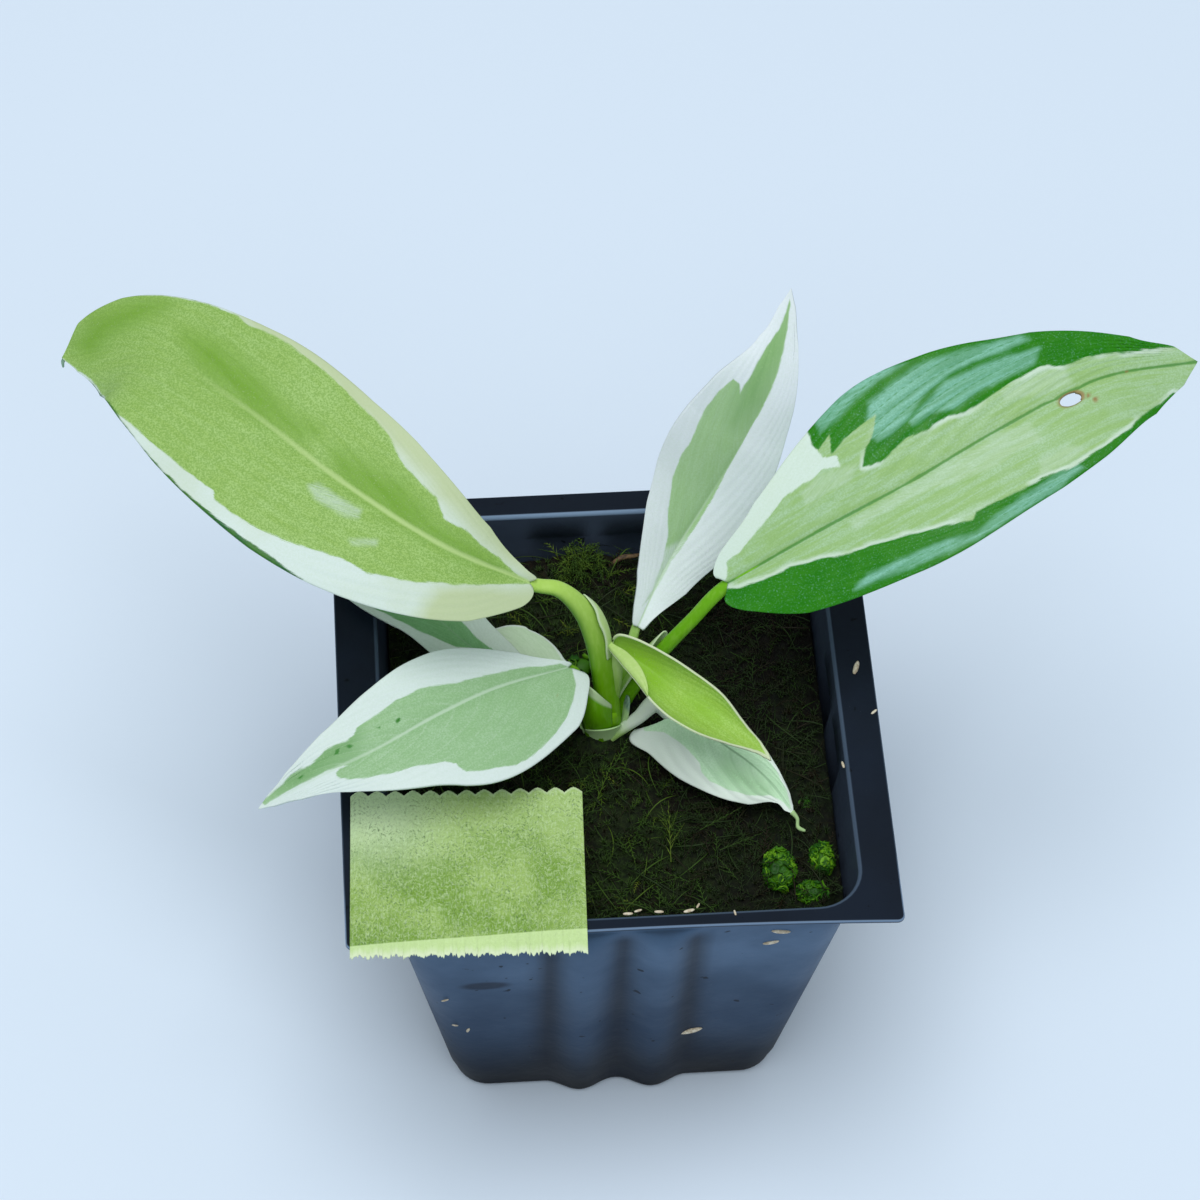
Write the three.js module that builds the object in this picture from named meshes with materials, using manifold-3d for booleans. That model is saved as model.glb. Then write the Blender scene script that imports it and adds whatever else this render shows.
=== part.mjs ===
// A young potted plant with eight leaves in a square nursery pot.
// Millimetres, +Z up, origin at the middle of the pot's underside, +Y to the back, +X to the right.
import * as THREE from 'three';
import { mergeVertices } from 'three/addons/utils/BufferGeometryUtils.js';
import Module from 'manifold-3d';

const wasm = await Module();
wasm.setup();

// Pot: a square flange on a thin wall that tapers to the foot
const RIM_SIDE = 86;
const POT_HEIGHT = 73.4;
const FOOT_SIDE = 54.4;
const FOOT_CENTRE = [0.4, 0.2];
const WALL = 0.8;
const WALL_TOP_X = 37.2;
const WALL_TOP_Y = 39.8;
const WALL_TOP_CENTRE = [0.3, -0.5];
const FOOT_CORNER_RADIUS = 6;
const TOP_CORNER_RADIUS = 7.5;
const RIM_CORNER_RADIUS = 0.5;
const FOOT_ROUNDING = 2;
const LIP_ROUNDING = 0.5;
const CORNER_STEPS = 4;
// The flange's front edge bows in a little between its corners
const FRONT_BOW = 1.1;

// Two half-round ribs stand out of each side of the wall
const RIB_OFFSET = 5.7;
const RIB_HALF_WIDTH = 4;
const RIB_PROUD = 2;
const RIB_ARCH_START = 63.5;
const RIB_ARCH_END = 68.5;
const RIB_STEPS = 4;

// Drain holes in the foot
const DRAIN_RADIUS = 3;
const DRAIN_OFFSET = 14;
const DRAIN_SIDES = 16;

// Clearance between pieces that touch
const GAP = 0.3;

// Growing medium with moss. Its edge is a little lower than its middle.
const MEDIUM_EDGE_HEIGHT = 63;
const MEDIUM_TOP = 64;
const MEDIUM_RINGS = 12;
const MEDIUM_CORNER_STEPS = 4;
const MEDIUM_SIDE_STEPS = 7;
const EDGE_DROP = 0.8;
const SMALL_MOUNDS = 60;
const SMALL_MOUND_FIELD = [34, 37];
const SMALL_MOUND_RADIUS = [2.5, 4.5];
const SMALL_MOUND_HEIGHT = [-0.6, 0.9];

// Crown, the short stem in the middle
const CROWN_FOOT = 55;
const CROWN_PLACE = [-0.6, 0.2];
const CROWN_SIDES = 16;

// Leaves
const BLADE_THICKNESS = 0.7;
const RIB_UNDER_BLADE = 0.5;
const WIDTH_STATIONS = [0, 0.05, 0.14, 0.3, 0.5, 0.7, 0.86, 0.95, 1];
const STALK_SIDES = 8;
const STALK_STEPS = 14;

// Paper tape on the rim
const TAPE_WIDTH = 36.3;
const TAPE_LENGTH = 29.2;
const TAPE_THICKNESS = 0.6;
const TAPE_CORNER = [-42.4, -44.9];
const TAPE_TURN = THREE.MathUtils.degToRad(-1.9);
const TAPE_TEETH = 13;
const TAPE_TOOTH_DEPTH = 1;
const TORN_STEPS = 24;
const TORN_DEPTH = [-0.5, 0.4];

// Small helpers

const vec = (p) => new THREE.Vector3(p[0], p[1], p[2]);
const mix = (a, b, t) => a + (b - a) * t;
const smooth = (x) => THREE.MathUtils.smoothstep(x, 0, 1);

// A repeatable random number from 0 to 1
function seededRandom(seed) {
  let state = seed;
  return () => {
    state = (state * 1103515245 + 12345) % 2147483648;
    return state / 2147483648;
  };
}

// Catmull-Rom through a list of numbers, evenly spaced
function throughValues(values, t) {
  const last = values.length - 1;
  const x = THREE.MathUtils.clamp(t, 0, 1) * last;
  const i = Math.min(Math.floor(x), last - 1);
  const f = x - i;
  const b = values[i];
  const c = values[i + 1];
  const a = i > 0 ? values[i - 1] : 2 * b - c;
  const d = i + 2 <= last ? values[i + 2] : 2 * c - b;
  return 0.5 * (2 * b + (c - a) * f + (2 * a - 5 * b + 4 * c - d) * f * f + (3 * b - a - 3 * c + d) * f ** 3);
}

const throughPoints = (points, t) =>
  vec([0, 1, 2].map((axis) => throughValues(points.map((p) => p[axis]), t)));

// A geometry from points and triangles, with triangles that have shrunk to a line left out
function meshFrom(points, triangles) {
  const raw = new THREE.BufferGeometry();
  raw.setAttribute('position', new THREE.Float32BufferAttribute(points.flatMap((p) => [p.x, p.y, p.z]), 3));
  raw.setIndex(triangles.flat());
  return withoutSlivers(raw);
}

function withoutSlivers(geometry) {
  const bare = geometry.clone();
  bare.deleteAttribute('normal');
  bare.deleteAttribute('uv');
  const merged = mergeVertices(bare, 1e-4);
  const old = merged.index.array;
  const kept = [];
  for (let i = 0; i < old.length; i += 3) {
    const [a, b, c] = [old[i], old[i + 1], old[i + 2]];
    if (a !== b && b !== c && c !== a) kept.push(a, b, c);
  }
  merged.setIndex(kept);
  return merged;
}

function solid(geometry) {
  const clean = withoutSlivers(geometry);
  return new wasm.Manifold(new wasm.Mesh({
    numProp: 3,
    vertProperties: clean.attributes.position.array,
    triVerts: new Uint32Array(clean.index.array),
  }));
}

function geometryOf(body) {
  const mesh = body.getMesh();
  const geometry = new THREE.BufferGeometry();
  geometry.setAttribute('position', new THREE.Float32BufferAttribute(mesh.vertProperties, 3));
  geometry.setIndex(Array.from(mesh.triVerts));
  return geometry;
}

// Scraps that a cut leaves beside the main body are dropped
const largest = (body) => body.decompose().reduce((a, b) => (b.volume() > a.volume() ? b : a));

// A closed body from rings of points, each ring with as many points as the next
function loft(rings) {
  const count = rings[0].length;
  const points = rings.flat();
  const triangles = [];
  for (let r = 0; r + 1 < rings.length; r += 1) {
    for (let i = 0; i < count; i += 1) {
      const j = (i + 1) % count;
      const [a, b, c, d] = [r * count + i, r * count + j, (r + 1) * count + j, (r + 1) * count + i];
      triangles.push([a, b, c], [a, c, d]);
    }
  }
  const ends = [[rings[0], 0, true], [rings[rings.length - 1], (rings.length - 1) * count, false]];
  for (const [ring, start, flipped] of ends) {
    const middle = ring.reduce((sum, p) => sum.add(p), new THREE.Vector3()).divideScalar(count);
    points.push(middle);
    for (let i = 0; i < count; i += 1) {
      const j = (i + 1) % count;
      const [a, b] = flipped ? [start + j, start + i] : [start + i, start + j];
      triangles.push([a, b, points.length - 1]);
    }
  }
  return meshFrom(points, triangles);
}

// A round tube through points, with a radius for each point, grown by extra all round and at both ends
function tube(path, radii, extra = 0) {
  const curve = new THREE.CatmullRomCurve3(path.map(vec));
  const frames = curve.computeFrenetFrames(STALK_STEPS, false);
  const rings = [];
  for (let s = 0; s <= STALK_STEPS; s += 1) {
    const t = s / STALK_STEPS;
    const centre = curve.getPointAt(t);
    if (s === 0) centre.addScaledVector(frames.tangents[s], -extra);
    if (s === STALK_STEPS) centre.addScaledVector(frames.tangents[s], extra);
    const radius = throughValues(radii, curve.getUtoTmapping(t)) + extra;
    const ring = [];
    for (let i = 0; i < STALK_SIDES; i += 1) {
      const angle = (2 * Math.PI * i) / STALK_SIDES;
      ring.push(centre.clone()
        .addScaledVector(frames.normals[s], radius * Math.cos(angle))
        .addScaledVector(frames.binormals[s], radius * Math.sin(angle)));
    }
    rings.push(ring);
  }
  return solid(loft(rings));
}

// Pot

// One ring of the pot: a rounded rectangle, counter-clockwise from above, with two ribs on each side
function potRing(halfX, halfY, centre, corner, ribProud, z) {
  const ring = [];
  const sides = [
    { out: [1, 0], along: [0, 1], reach: halfX, half: halfY },
    { out: [0, 1], along: [-1, 0], reach: halfY, half: halfX },
    { out: [-1, 0], along: [0, -1], reach: halfX, half: halfY },
    { out: [0, -1], along: [1, 0], reach: halfY, half: halfX },
  ];
  for (const { out, along, reach, half } of sides) {
    const place = (outward, sideways) => ring.push(new THREE.Vector3(
      centre[0] + out[0] * outward + along[0] * sideways,
      centre[1] + out[1] * outward + along[1] * sideways,
      z,
    ));
    for (const rib of [-RIB_OFFSET, RIB_OFFSET]) {
      for (let i = 0; i <= RIB_STEPS; i += 1) {
        const angle = (Math.PI * i) / RIB_STEPS;
        place(reach + ribProud * Math.sin(angle), rib - RIB_HALF_WIDTH * Math.cos(angle));
      }
    }
    for (let i = 0; i <= CORNER_STEPS; i += 1) {
      const angle = (0.5 * Math.PI * i) / CORNER_STEPS;
      place(reach - corner + corner * Math.cos(angle), half - corner + corner * Math.sin(angle));
    }
  }
  return ring;
}

const flangeUnderside = POT_HEIGHT - WALL;
const wallHalf = (top, z) => mix(FOOT_SIDE / 2, top, z / flangeUnderside);
const wallCentre = (z) => WALL_TOP_CENTRE.map((c, i) => mix(FOOT_CENTRE[i], c, z / flangeUnderside));

// The ribs end in a round arch below the flange
function ribAt(z) {
  if (z <= RIB_ARCH_START) return RIB_PROUD;
  const rise = Math.min((z - RIB_ARCH_START) / (RIB_ARCH_END - RIB_ARCH_START), 1);
  return RIB_PROUD * Math.sqrt(1 - rise * rise);
}

function wallRing(z, inset, ribbed = true) {
  const corner = mix(FOOT_CORNER_RADIUS, TOP_CORNER_RADIUS, z / flangeUnderside) - inset;
  return potRing(wallHalf(WALL_TOP_X, z) - inset, wallHalf(WALL_TOP_Y, z) - inset, wallCentre(z), corner,
    ribbed ? ribAt(z) : 0, z);
}

function lift(ring, z) {
  return ring.map((p) => new THREE.Vector3(p.x, p.y, z));
}

function makePot() {
  const archHeights = [RIB_ARCH_START, 66, 67.7, RIB_ARCH_END];
  const half = RIM_SIDE / 2;
  const bow = (p) => (p.y < -half + 1e-6 ? FRONT_BOW * (1 - (p.x / half) ** 2) : 0);
  const flangeRing = (z) => potRing(half, half, [0, 0], RIM_CORNER_RADIUS, 0, z)
    .map((p) => new THREE.Vector3(p.x, p.y + bow(p), z));
  const rings = [
    lift(wallRing(0, FOOT_ROUNDING), 0),
    lift(wallRing(0, FOOT_ROUNDING * 0.3), FOOT_ROUNDING * 0.3),
    wallRing(FOOT_ROUNDING, 0),
    ...archHeights.map((z) => wallRing(z, 0)),
    wallRing(flangeUnderside, 0),
    flangeRing(flangeUnderside),
    flangeRing(POT_HEIGHT),
    lift(wallRing(flangeUnderside, WALL - LIP_ROUNDING), POT_HEIGHT),
    lift(wallRing(flangeUnderside, WALL), POT_HEIGHT - LIP_ROUNDING),
    ...archHeights.map((z) => wallRing(z, WALL)).reverse(),
    wallRing(FOOT_ROUNDING + WALL, WALL),
    lift(wallRing(WALL, FOOT_ROUNDING + WALL), WALL),
  ];
  let pot = solid(loft(rings));
  for (const x of [-DRAIN_OFFSET, DRAIN_OFFSET]) {
    for (const y of [-DRAIN_OFFSET, DRAIN_OFFSET]) {
      const drill = new THREE.CylinderGeometry(DRAIN_RADIUS, DRAIN_RADIUS, 4 * WALL, DRAIN_SIDES);
      drill.rotateX(Math.PI / 2);
      drill.translate(x, y, WALL / 2);
      pot = pot.subtract(solid(drill));
    }
  }
  return geometryOf(pot);
}

// Growing medium

// Mounds in the surface: x, y, radius, height. The last three are the liverwort lumps.
const MOUNDS = [
  [-1, -3, 3.5, 1.4], [8, -7, 6, -1.8], [-22, 27, 9, 2.5], [-2, 35, 6, 2.5], [14, 28, 9, -2],
  [27, 22, 7, 1.5], [26, 4, 8, 2], [-27, 8, 8, 1], [-10, -16, 9, 1.5], [6, -27, 10, -1.5],
  [16, -6, 8, -1], [31, -15, 5, 1.5],
  [25.5, -28, 3.2, 4], [32, -26, 2.8, 3], [30, -33, 2.8, 3],
];

function makeMounds() {
  const random = seededRandom(7);
  const small = [];
  const [fieldX, fieldY] = SMALL_MOUND_FIELD;
  for (let i = 0; i < SMALL_MOUNDS; i += 1) {
    const x = mix(-fieldX, fieldX, random());
    const y = mix(-fieldY, fieldY, random());
    small.push([x, y, mix(...SMALL_MOUND_RADIUS, random()), mix(...SMALL_MOUND_HEIGHT, random())]);
  }
  return [...MOUNDS, ...small];
}

const mounds = makeMounds();

function mediumHeight(x, y) {
  let z = MEDIUM_TOP;
  for (const [cx, cy, radius, height] of mounds) {
    z += height * Math.exp(-((x - cx) ** 2 + (y - cy) ** 2) / (radius * radius));
  }
  return z;
}

// One ring of the medium, a plain rounded rectangle inside the pot's wall
function mediumRing(z, inset = WALL + GAP) {
  const halfX = wallHalf(WALL_TOP_X, z) - inset;
  const halfY = wallHalf(WALL_TOP_Y, z) - inset;
  const centre = wallCentre(z);
  const corner = mix(FOOT_CORNER_RADIUS, TOP_CORNER_RADIUS, z / flangeUnderside) - inset;
  const ring = [];
  const quarters = [[1, 1, 0], [-1, 1, 90], [-1, -1, 180], [1, -1, 270]];
  const corners = quarters.map(([signX, signY, start]) => {
    const arc = [];
    for (let i = 0; i <= MEDIUM_CORNER_STEPS; i += 1) {
      const angle = THREE.MathUtils.degToRad(start + (90 * i) / MEDIUM_CORNER_STEPS);
      arc.push(new THREE.Vector3(
        centre[0] + signX * (halfX - corner) + corner * Math.cos(angle),
        centre[1] + signY * (halfY - corner) + corner * Math.sin(angle),
        z,
      ));
    }
    return arc;
  });
  corners.forEach((arc, k) => {
    ring.push(...arc);
    const from = arc[arc.length - 1];
    const to = corners[(k + 1) % 4][0];
    for (let i = 1; i < MEDIUM_SIDE_STEPS; i += 1) ring.push(from.clone().lerp(to, i / MEDIUM_SIDE_STEPS));
  });
  return ring;
}

function makeMedium(crownHole) {
  const edge = mediumRing(MEDIUM_EDGE_HEIGHT);
  // The floor's rounding keeps the medium's foot off the pot's corner
  const footInset = WALL + GAP + FOOT_ROUNDING;
  const rings = [lift(mediumRing(0, footInset), WALL + GAP), mediumRing(footInset + GAP), edge];
  for (let r = MEDIUM_RINGS; r > 0; r -= 1) {
    const share = r / MEDIUM_RINGS;
    rings.push(edge.map((p) => {
      const [x, y] = [p.x * share, p.y * share];
      const top = mediumHeight(x, y);
      const z = r === MEDIUM_RINGS ? Math.max(top - EDGE_DROP, MEDIUM_EDGE_HEIGHT + 0.2) : top;
      return new THREE.Vector3(x, y, z);
    }));
  }
  return geometryOf(solid(loft(rings)).subtract(crownHole));
}

// Crown

// The outline of the crown: a stub, a low collar of scale leaves and a blunt top
const CROWN_PROFILE = [
  [0, CROWN_FOOT], [2.4, CROWN_FOOT], [2.8, 60], [3.1, 63.5], [3.7, 65], [3.9, 66.2], [3.3, 66.4],
  [3.1, 67.6], [2.9, 69.6], [2, 70.6], [0, 71],
];

// The crown, grown by extra square to its profile
function makeCrown(extra) {
  const outline = CROWN_PROFILE.map(([r, z]) => new THREE.Vector2(r, z));
  const squareTo = (a, b) => new THREE.Vector2(b.y - a.y, a.x - b.x).normalize();
  const last = outline.length - 1;
  const profile = outline.map((p, i) => {
    if (i === 0) return new THREE.Vector2(0, p.y - extra);
    if (i === last) return new THREE.Vector2(0, p.y + extra);
    const before = squareTo(outline[i - 1], p);
    const after = squareTo(p, outline[i + 1]);
    const corner = before.clone().add(after).divideScalar(1 + before.dot(after));
    return p.clone().addScaledVector(corner, extra);
  });
  const lathe = new THREE.LatheGeometry(profile, CROWN_SIDES);
  lathe.rotateX(Math.PI / 2);
  lathe.translate(CROWN_PLACE[0], CROWN_PLACE[1], 0);
  return solid(lathe);
}

// Leaves

// One leaf: the midrib's points from base to tip, the way the blade faces at base and tip, the half widths at
// WIDTH_STATIONS to the left and right of the midrib, seen from the blade's face looking to its tip, and, in
// degrees at base and tip, how far each half folds up, curls and sweeps. The rows of the blade turn from the
// first sweep to the second over the share of the length in lobe. The stalk runs from the crown to the base.
const LEAVES = {
  leaf_left_large: {
    color: 0xa3bf66,
    grid: [18, 10],
    midrib: [
      [-12, 6, 99], [-25.5, 8, 107], [-40.5, 17.5, 112],
      [-55.5, 31, 115], [-69.5, 43.5, 114], [-84, 49.5, 106],
    ],
    faces: [[0.12, -0.45, 0.9], [0.1, -0.35, 0.95]],
    left: [1, 5.5, 10, 17, 18, 14, 9, 3.5, 0],
    right: [1, 2.5, 6, 12, 14, 11.5, 8.5, 5, 0],
    fold: [16, 12], curl: [-20, -16], sweep: [-40, 14], lobe: 0.3, roundTip: true,
    wave: [0.5, 3],
    stalk: [[0.2, 1, 68], [0, 1.9, 73], [-0.6, 3.2, 79], [-1.6, 4.6, 85], [-3.6, 5.8, 91], [-7.3, 6.3, 96.3]],
    radii: [2.4, 2.2, 2.1, 2, 1.3, 1.15, 1.1, 0.6],
  },
  leaf_right_large: {
    color: 0x8fb573,
    grid: [18, 10],
    midrib: [
      [19, 7, 95], [33.5, 10.5, 103], [47.5, 14.5, 109],
      [62, 21, 113], [78.5, 28.5, 115], [95, 33.5, 112],
    ],
    faces: [[-0.1, -0.42, 0.9], [-0.12, -0.45, 0.9]],
    left: [2, 5.5, 9, 17.5, 16.5, 11.5, 5.5, 3, 0],
    right: [2.5, 6.5, 11, 14, 14, 12.5, 7.5, 3, 0],
    fold: [16, 12], curl: [-20, -16], sweep: [-35, 14], lobe: 0.3, roundTip: true,
    wave: [0.5, 2.5],
    stalk: [[1.2, 1.6, 66.5], [3.4, 3.5, 70.5], [7.8, 4.9, 77.5], [13.4, 6, 86]],
    radii: [1.4, 1.3, 1.2, 1.1, 1.05, 0.6],
  },
  leaf_back_upright: {
    color: 0xd5dfc6,
    grid: [16, 8],
    midrib: [
      [5.5, 11, 79], [10.5, 18.5, 85], [17, 24, 94],
      [23, 27.5, 105], [28, 31.5, 117], [30.5, 39.5, 127],
    ],
    faces: [[-0.1, -0.9, 0.4], [-0.2, -0.9, 0.3]],
    left: [0.8, 2, 4, 9, 12, 9.5, 4, 1.5, 0],
    right: [0.8, 2, 5, 8.5, 7.5, 5, 2.5, 1.2, 0],
    fold: [18, 14], curl: [-20, -16], sweep: [-5, 16], lobe: 0.25, roundTip: false,
    wave: [0.4, 2],
    stalk: [[0.8, 2.2, 66.5], [2.6, 5.8, 70.8], [4, 8.4, 74.8]],
    radii: [1.1, 1, 0.95, 0.9, 0.5],
  },
  leaf_front_left: {
    color: 0xb4c9a0,
    grid: [16, 10],
    midrib: [
      [-6, 3, 80], [-17.5, -3, 84], [-27, -9, 86],
      [-37, -15, 86], [-46.5, -18.5, 84], [-55.5, -21, 80],
    ],
    faces: [[0, -0.25, 0.95], [0, -0.35, 0.93]],
    left: [2.5, 5.5, 12, 15, 10, 4.5, 2, 0.8, 0],
    right: [1, 3, 5, 9.5, 9, 6, 3, 1.2, 0],
    fold: [16, 12], curl: [-20, -16], sweep: [-45, 14], lobe: 0.35, roundTip: false,
    wave: [0.4, 2.5],
    stalk: [[-1.2, -0.6, 67.6], [-3, 0.4, 72.5], [-4.6, 1.8, 77]],
    radii: [2, 1.8, 1.3, 1, 0.5],
  },
  leaf_young_rolled: {
    color: 0xb6cf4b,
    grid: [14, 10],
    midrib: [
      [1, 4, 84], [5.5, 0, 84], [11, -4, 82],
      [17, -8, 80.5], [22, -12, 79], [25.5, -16.5, 77.5],
    ],
    faces: [[-0.35, -0.3, 0.85], [-0.1, -0.2, 0.95]],
    left: [1.2, 3.5, 4.5, 4.7, 3.5, 1.6, 0.9, 0.5, 0],
    right: [1, 2, 3.5, 6.5, 7, 4, 1.5, 0.5, 0],
    fold: [6, 10], curl: [95, 25], sweep: [-10, 12], lobe: 0.25, roundTip: false,
    wave: [0.2, 2],
    stalk: [[0.6, 1.8, 74], [0.6, 2.8, 79]],
    radii: [0.8, 0.8, 0.9, 0.4],
  },
  leaf_front_right: {
    color: 0xb9cbab,
    grid: [14, 8],
    midrib: [
      [10.5, 0, 70], [14, -3.5, 71], [18, -7.5, 71.5],
      [22, -11.5, 71.5], [25.5, -15.5, 70.5], [28, -19.5, 69],
    ],
    faces: [[0, -0.2, 0.95], [0.1, -0.3, 0.9]],
    left: [5, 5.5, 6, 6.5, 5, 3.2, 1.8, 0.8, 0],
    right: [7.5, 8.5, 8.5, 8.5, 7.5, 5, 1.5, 0.8, 0],
    fold: [-14, -22], curl: [-16, -16], sweep: [-34, 14], lobe: 0.4, roundTip: false,
    wave: [0.3, 2],
    stalk: [[1.6, -1.6, 65.6], [5, -1.6, 67.2], [8, -0.8, 68.7]],
    radii: [1.3, 1.1, 0.9, 0.8, 0.5],
    drip: {
      path: [[27.8, -19.2, 69.2], [28.6, -20.1, 68.4], [28.5, -21.1, 67.4], [29.4, -21.8, 66.8]],
      radius: 0.35,
    },
  },
  leaf_rear_left: {
    color: 0x86a586,
    grid: [14, 8],
    midrib: [
      [-12, 6, 70], [-16.5, 9, 72], [-22.5, 13.5, 74],
      [-28.5, 19.5, 75.5], [-35.5, 25, 76.5], [-42.5, 28.5, 77],
    ],
    faces: [[0, -0.2, 0.95], [0, -0.2, 0.95]],
    left: [1, 2.5, 4.5, 5, 5.5, 6.5, 5.5, 3, 0],
    right: [1, 2, 3.5, 5, 6.5, 5.5, 3, 1, 0],
    fold: [14, 10], curl: [-20, -16], sweep: [-35, 14], lobe: 0.35, roundTip: false,
    wave: [0.3, 2],
    stalk: [[-1.5, 1.4, 66], [-5, 3.2, 68], [-8.6, 4.8, 69.2]],
    radii: [1, 0.9, 0.8, 0.7, 0.4],
  },
  leaf_smallest: {
    color: 0xc3d4ae,
    grid: [10, 8],
    midrib: [
      [-5.5, 10.5, 69], [-9, 12, 69.5], [-12, 12.5, 70],
      [-15.5, 13.5, 70], [-19, 14.5, 69.5], [-22.5, 15, 69],
    ],
    faces: [[0, -0.1, 1], [0, -0.1, 1]],
    left: [1, 2.2, 4.5, 6, 5.5, 4, 2.5, 1, 0],
    right: [0.6, 1, 2, 5, 5.5, 4.5, 2, 0.7, 0],
    fold: [8, 6], curl: [-20, -16], sweep: [-40, 14], lobe: 0.35, roundTip: false,
    wave: [0.2, 2],
    stalk: [[-1, 2.2, 66], [-2.6, 5.2, 67.3], [-4.2, 8.2, 68.2]],
    radii: [0.9, 0.8, 0.7, 0.6, 0.4],
  },
};

// The half width at a share u of the length
function halfWidth(widths, u, roundTip) {
  const last = WIDTH_STATIONS.length - 1;
  let i = 0;
  while (i < last - 1 && u > WIDTH_STATIONS[i + 1]) i += 1;
  const t = (u - WIDTH_STATIONS[i]) / (WIDTH_STATIONS[i + 1] - WIDTH_STATIONS[i]);
  if (i === last - 1 && roundTip) return widths[i] * Math.sqrt(Math.max(0, 1 - t * t));
  return Math.max(0, throughValues(widths, (i + t) / last));
}

// Along, side and face directions of the blade at u
function bladeFrame(leaf, u) {
  const step = 1e-3;
  const along = throughPoints(leaf.midrib, u + step).sub(throughPoints(leaf.midrib, u - step)).normalize();
  const face = vec(leaf.faces[0]).lerp(vec(leaf.faces[1]), u);
  const side = face.clone().cross(along).normalize();
  return { along, side, face: along.clone().cross(side).normalize() };
}

// A point of the blade's middle surface: u from base to tip, v from -1 at the right edge to 1 at the left
function bladePoint(leaf, u, v) {
  const { along, side, face } = bladeFrame(leaf, u);
  const reach = Math.abs(v);
  const width = halfWidth(v >= 0 ? leaf.left : leaf.right, u, leaf.roundTip);
  const fold = THREE.MathUtils.degToRad(mix(leaf.fold[0], leaf.fold[1], u));
  const curl = THREE.MathUtils.degToRad(mix(leaf.curl[0], leaf.curl[1], u));
  const sweep = THREE.MathUtils.degToRad(mix(leaf.sweep[0], leaf.sweep[1], smooth(u / leaf.lobe)));
  const across = (Math.sin(fold + curl * reach) - Math.sin(fold)) / curl;
  const rise = (Math.cos(fold) - Math.cos(fold + curl * reach)) / curl;
  const [waveSize, waveCount] = leaf.wave;
  const phase = v > 0 ? 0 : 2;
  const atEdge = reach ** 3 * Math.min(1, 4 * (1 - u));
  const wave = waveSize * Math.sin(2 * Math.PI * waveCount * u + phase) * atEdge;
  return throughPoints(leaf.midrib, u)
    .addScaledVector(side, Math.sign(v) * width * across * Math.cos(sweep))
    .addScaledVector(along, width * Math.sin(sweep) * reach ** 1.5)
    .addScaledVector(face, width * rise + wave);
}

// The blade: two like grids of points, one above and one below, with a raised rib under the midrib
function makeBlade(leaf) {
  const [rows, columns] = leaf.grid;
  const points = [];
  const surface = [];
  for (let r = 0; r <= rows; r += 1) {
    for (let c = 0; c <= columns; c += 1) surface.push(bladePoint(leaf, r / rows, (2 * c) / columns - 1));
  }
  const at = (r, c) => surface[r * (columns + 1) + c];
  const shellNormal = (r, c) => {
    if (r === rows) return bladeFrame(leaf, 1).face;
    const along = at(Math.min(r + 1, rows), c).clone().sub(at(Math.max(r - 1, 0), c));
    const across = at(r, Math.min(c + 1, columns)).clone().sub(at(r, Math.max(c - 1, 0)));
    return along.cross(across).normalize();
  };
  for (const half of [1, -1]) {
    for (let r = 0; r <= rows; r += 1) {
      for (let c = 0; c <= columns; c += 1) {
        const onRib = half < 0 && c === columns / 2 && r < rows ? RIB_UNDER_BLADE * (1 - r / rows) : 0;
        const depth = half * (BLADE_THICKNESS / 2) - onRib;
        points.push(at(r, c).clone().addScaledVector(shellNormal(r, c), depth));
      }
    }
  }
  const under = surface.length;
  const triangles = [];
  for (let r = 0; r < rows; r += 1) {
    for (let c = 0; c < columns; c += 1) {
      const a = r * (columns + 1) + c;
      const [b, d] = [a + 1, a + columns + 1];
      const e = d + 1;
      triangles.push([a, d, e], [a, e, b]);
      triangles.push([under + a, under + e, under + d], [under + a, under + b, under + e]);
    }
  }
  const border = [];
  for (let c = 0; c < columns; c += 1) border.push(c);
  for (let r = 0; r < rows; r += 1) border.push(r * (columns + 1) + columns);
  for (let c = columns; c > 0; c -= 1) border.push(rows * (columns + 1) + c);
  for (let r = rows; r > 0; r -= 1) border.push(r * (columns + 1));
  border.forEach((a, i) => {
    const b = border[(i + 1) % border.length];
    triangles.push([a, b, under + b], [a, under + b, under + a]);
  });
  return solid(meshFrom(points, triangles));
}

// The stalk runs on under the blade as the start of its midrib
function stalkPath(leaf) {
  const below = (u, depth) => {
    const { face } = bladeFrame(leaf, u);
    return throughPoints(leaf.midrib, u).addScaledVector(face, -depth).toArray();
  };
  return [...leaf.stalk, below(0, 0.5), below(0.12, 0.7)];
}

// The young leaf's blade gives way to the sheath that its stalk comes out of
function makeLeafSolid(leaf, sheath) {
  const blade = sheath ? makeBlade(leaf).subtract(sheath) : makeBlade(leaf);
  let body = blade.add(tube(stalkPath(leaf), leaf.radii));
  if (leaf.drip) body = body.add(tube(leaf.drip.path, leaf.drip.path.map(() => leaf.drip.radius)));
  return body;
}

const inflatedStalk = (leaf) => tube(stalkPath(leaf), leaf.radii, GAP);

// A hole that an insect has eaten in the right leaf, near its tip
const BITE = { u: 0.745, v: -0.1, radius: 1.5, stretch: 1.4, depth: 8, sides: 10 };

function biteTool(leaf) {
  const centre = bladePoint(leaf, BITE.u, BITE.v);
  const { along, side, face } = bladeFrame(leaf, BITE.u);
  const drill = new THREE.CylinderGeometry(BITE.radius, BITE.radius, BITE.depth, BITE.sides);
  drill.scale(BITE.stretch, 1, 1);
  const turn = new THREE.Matrix4().makeBasis(along, face, along.clone().cross(face));
  drill.applyMatrix4(turn.setPosition(centre));
  return solid(drill);
}

// Tape

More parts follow.
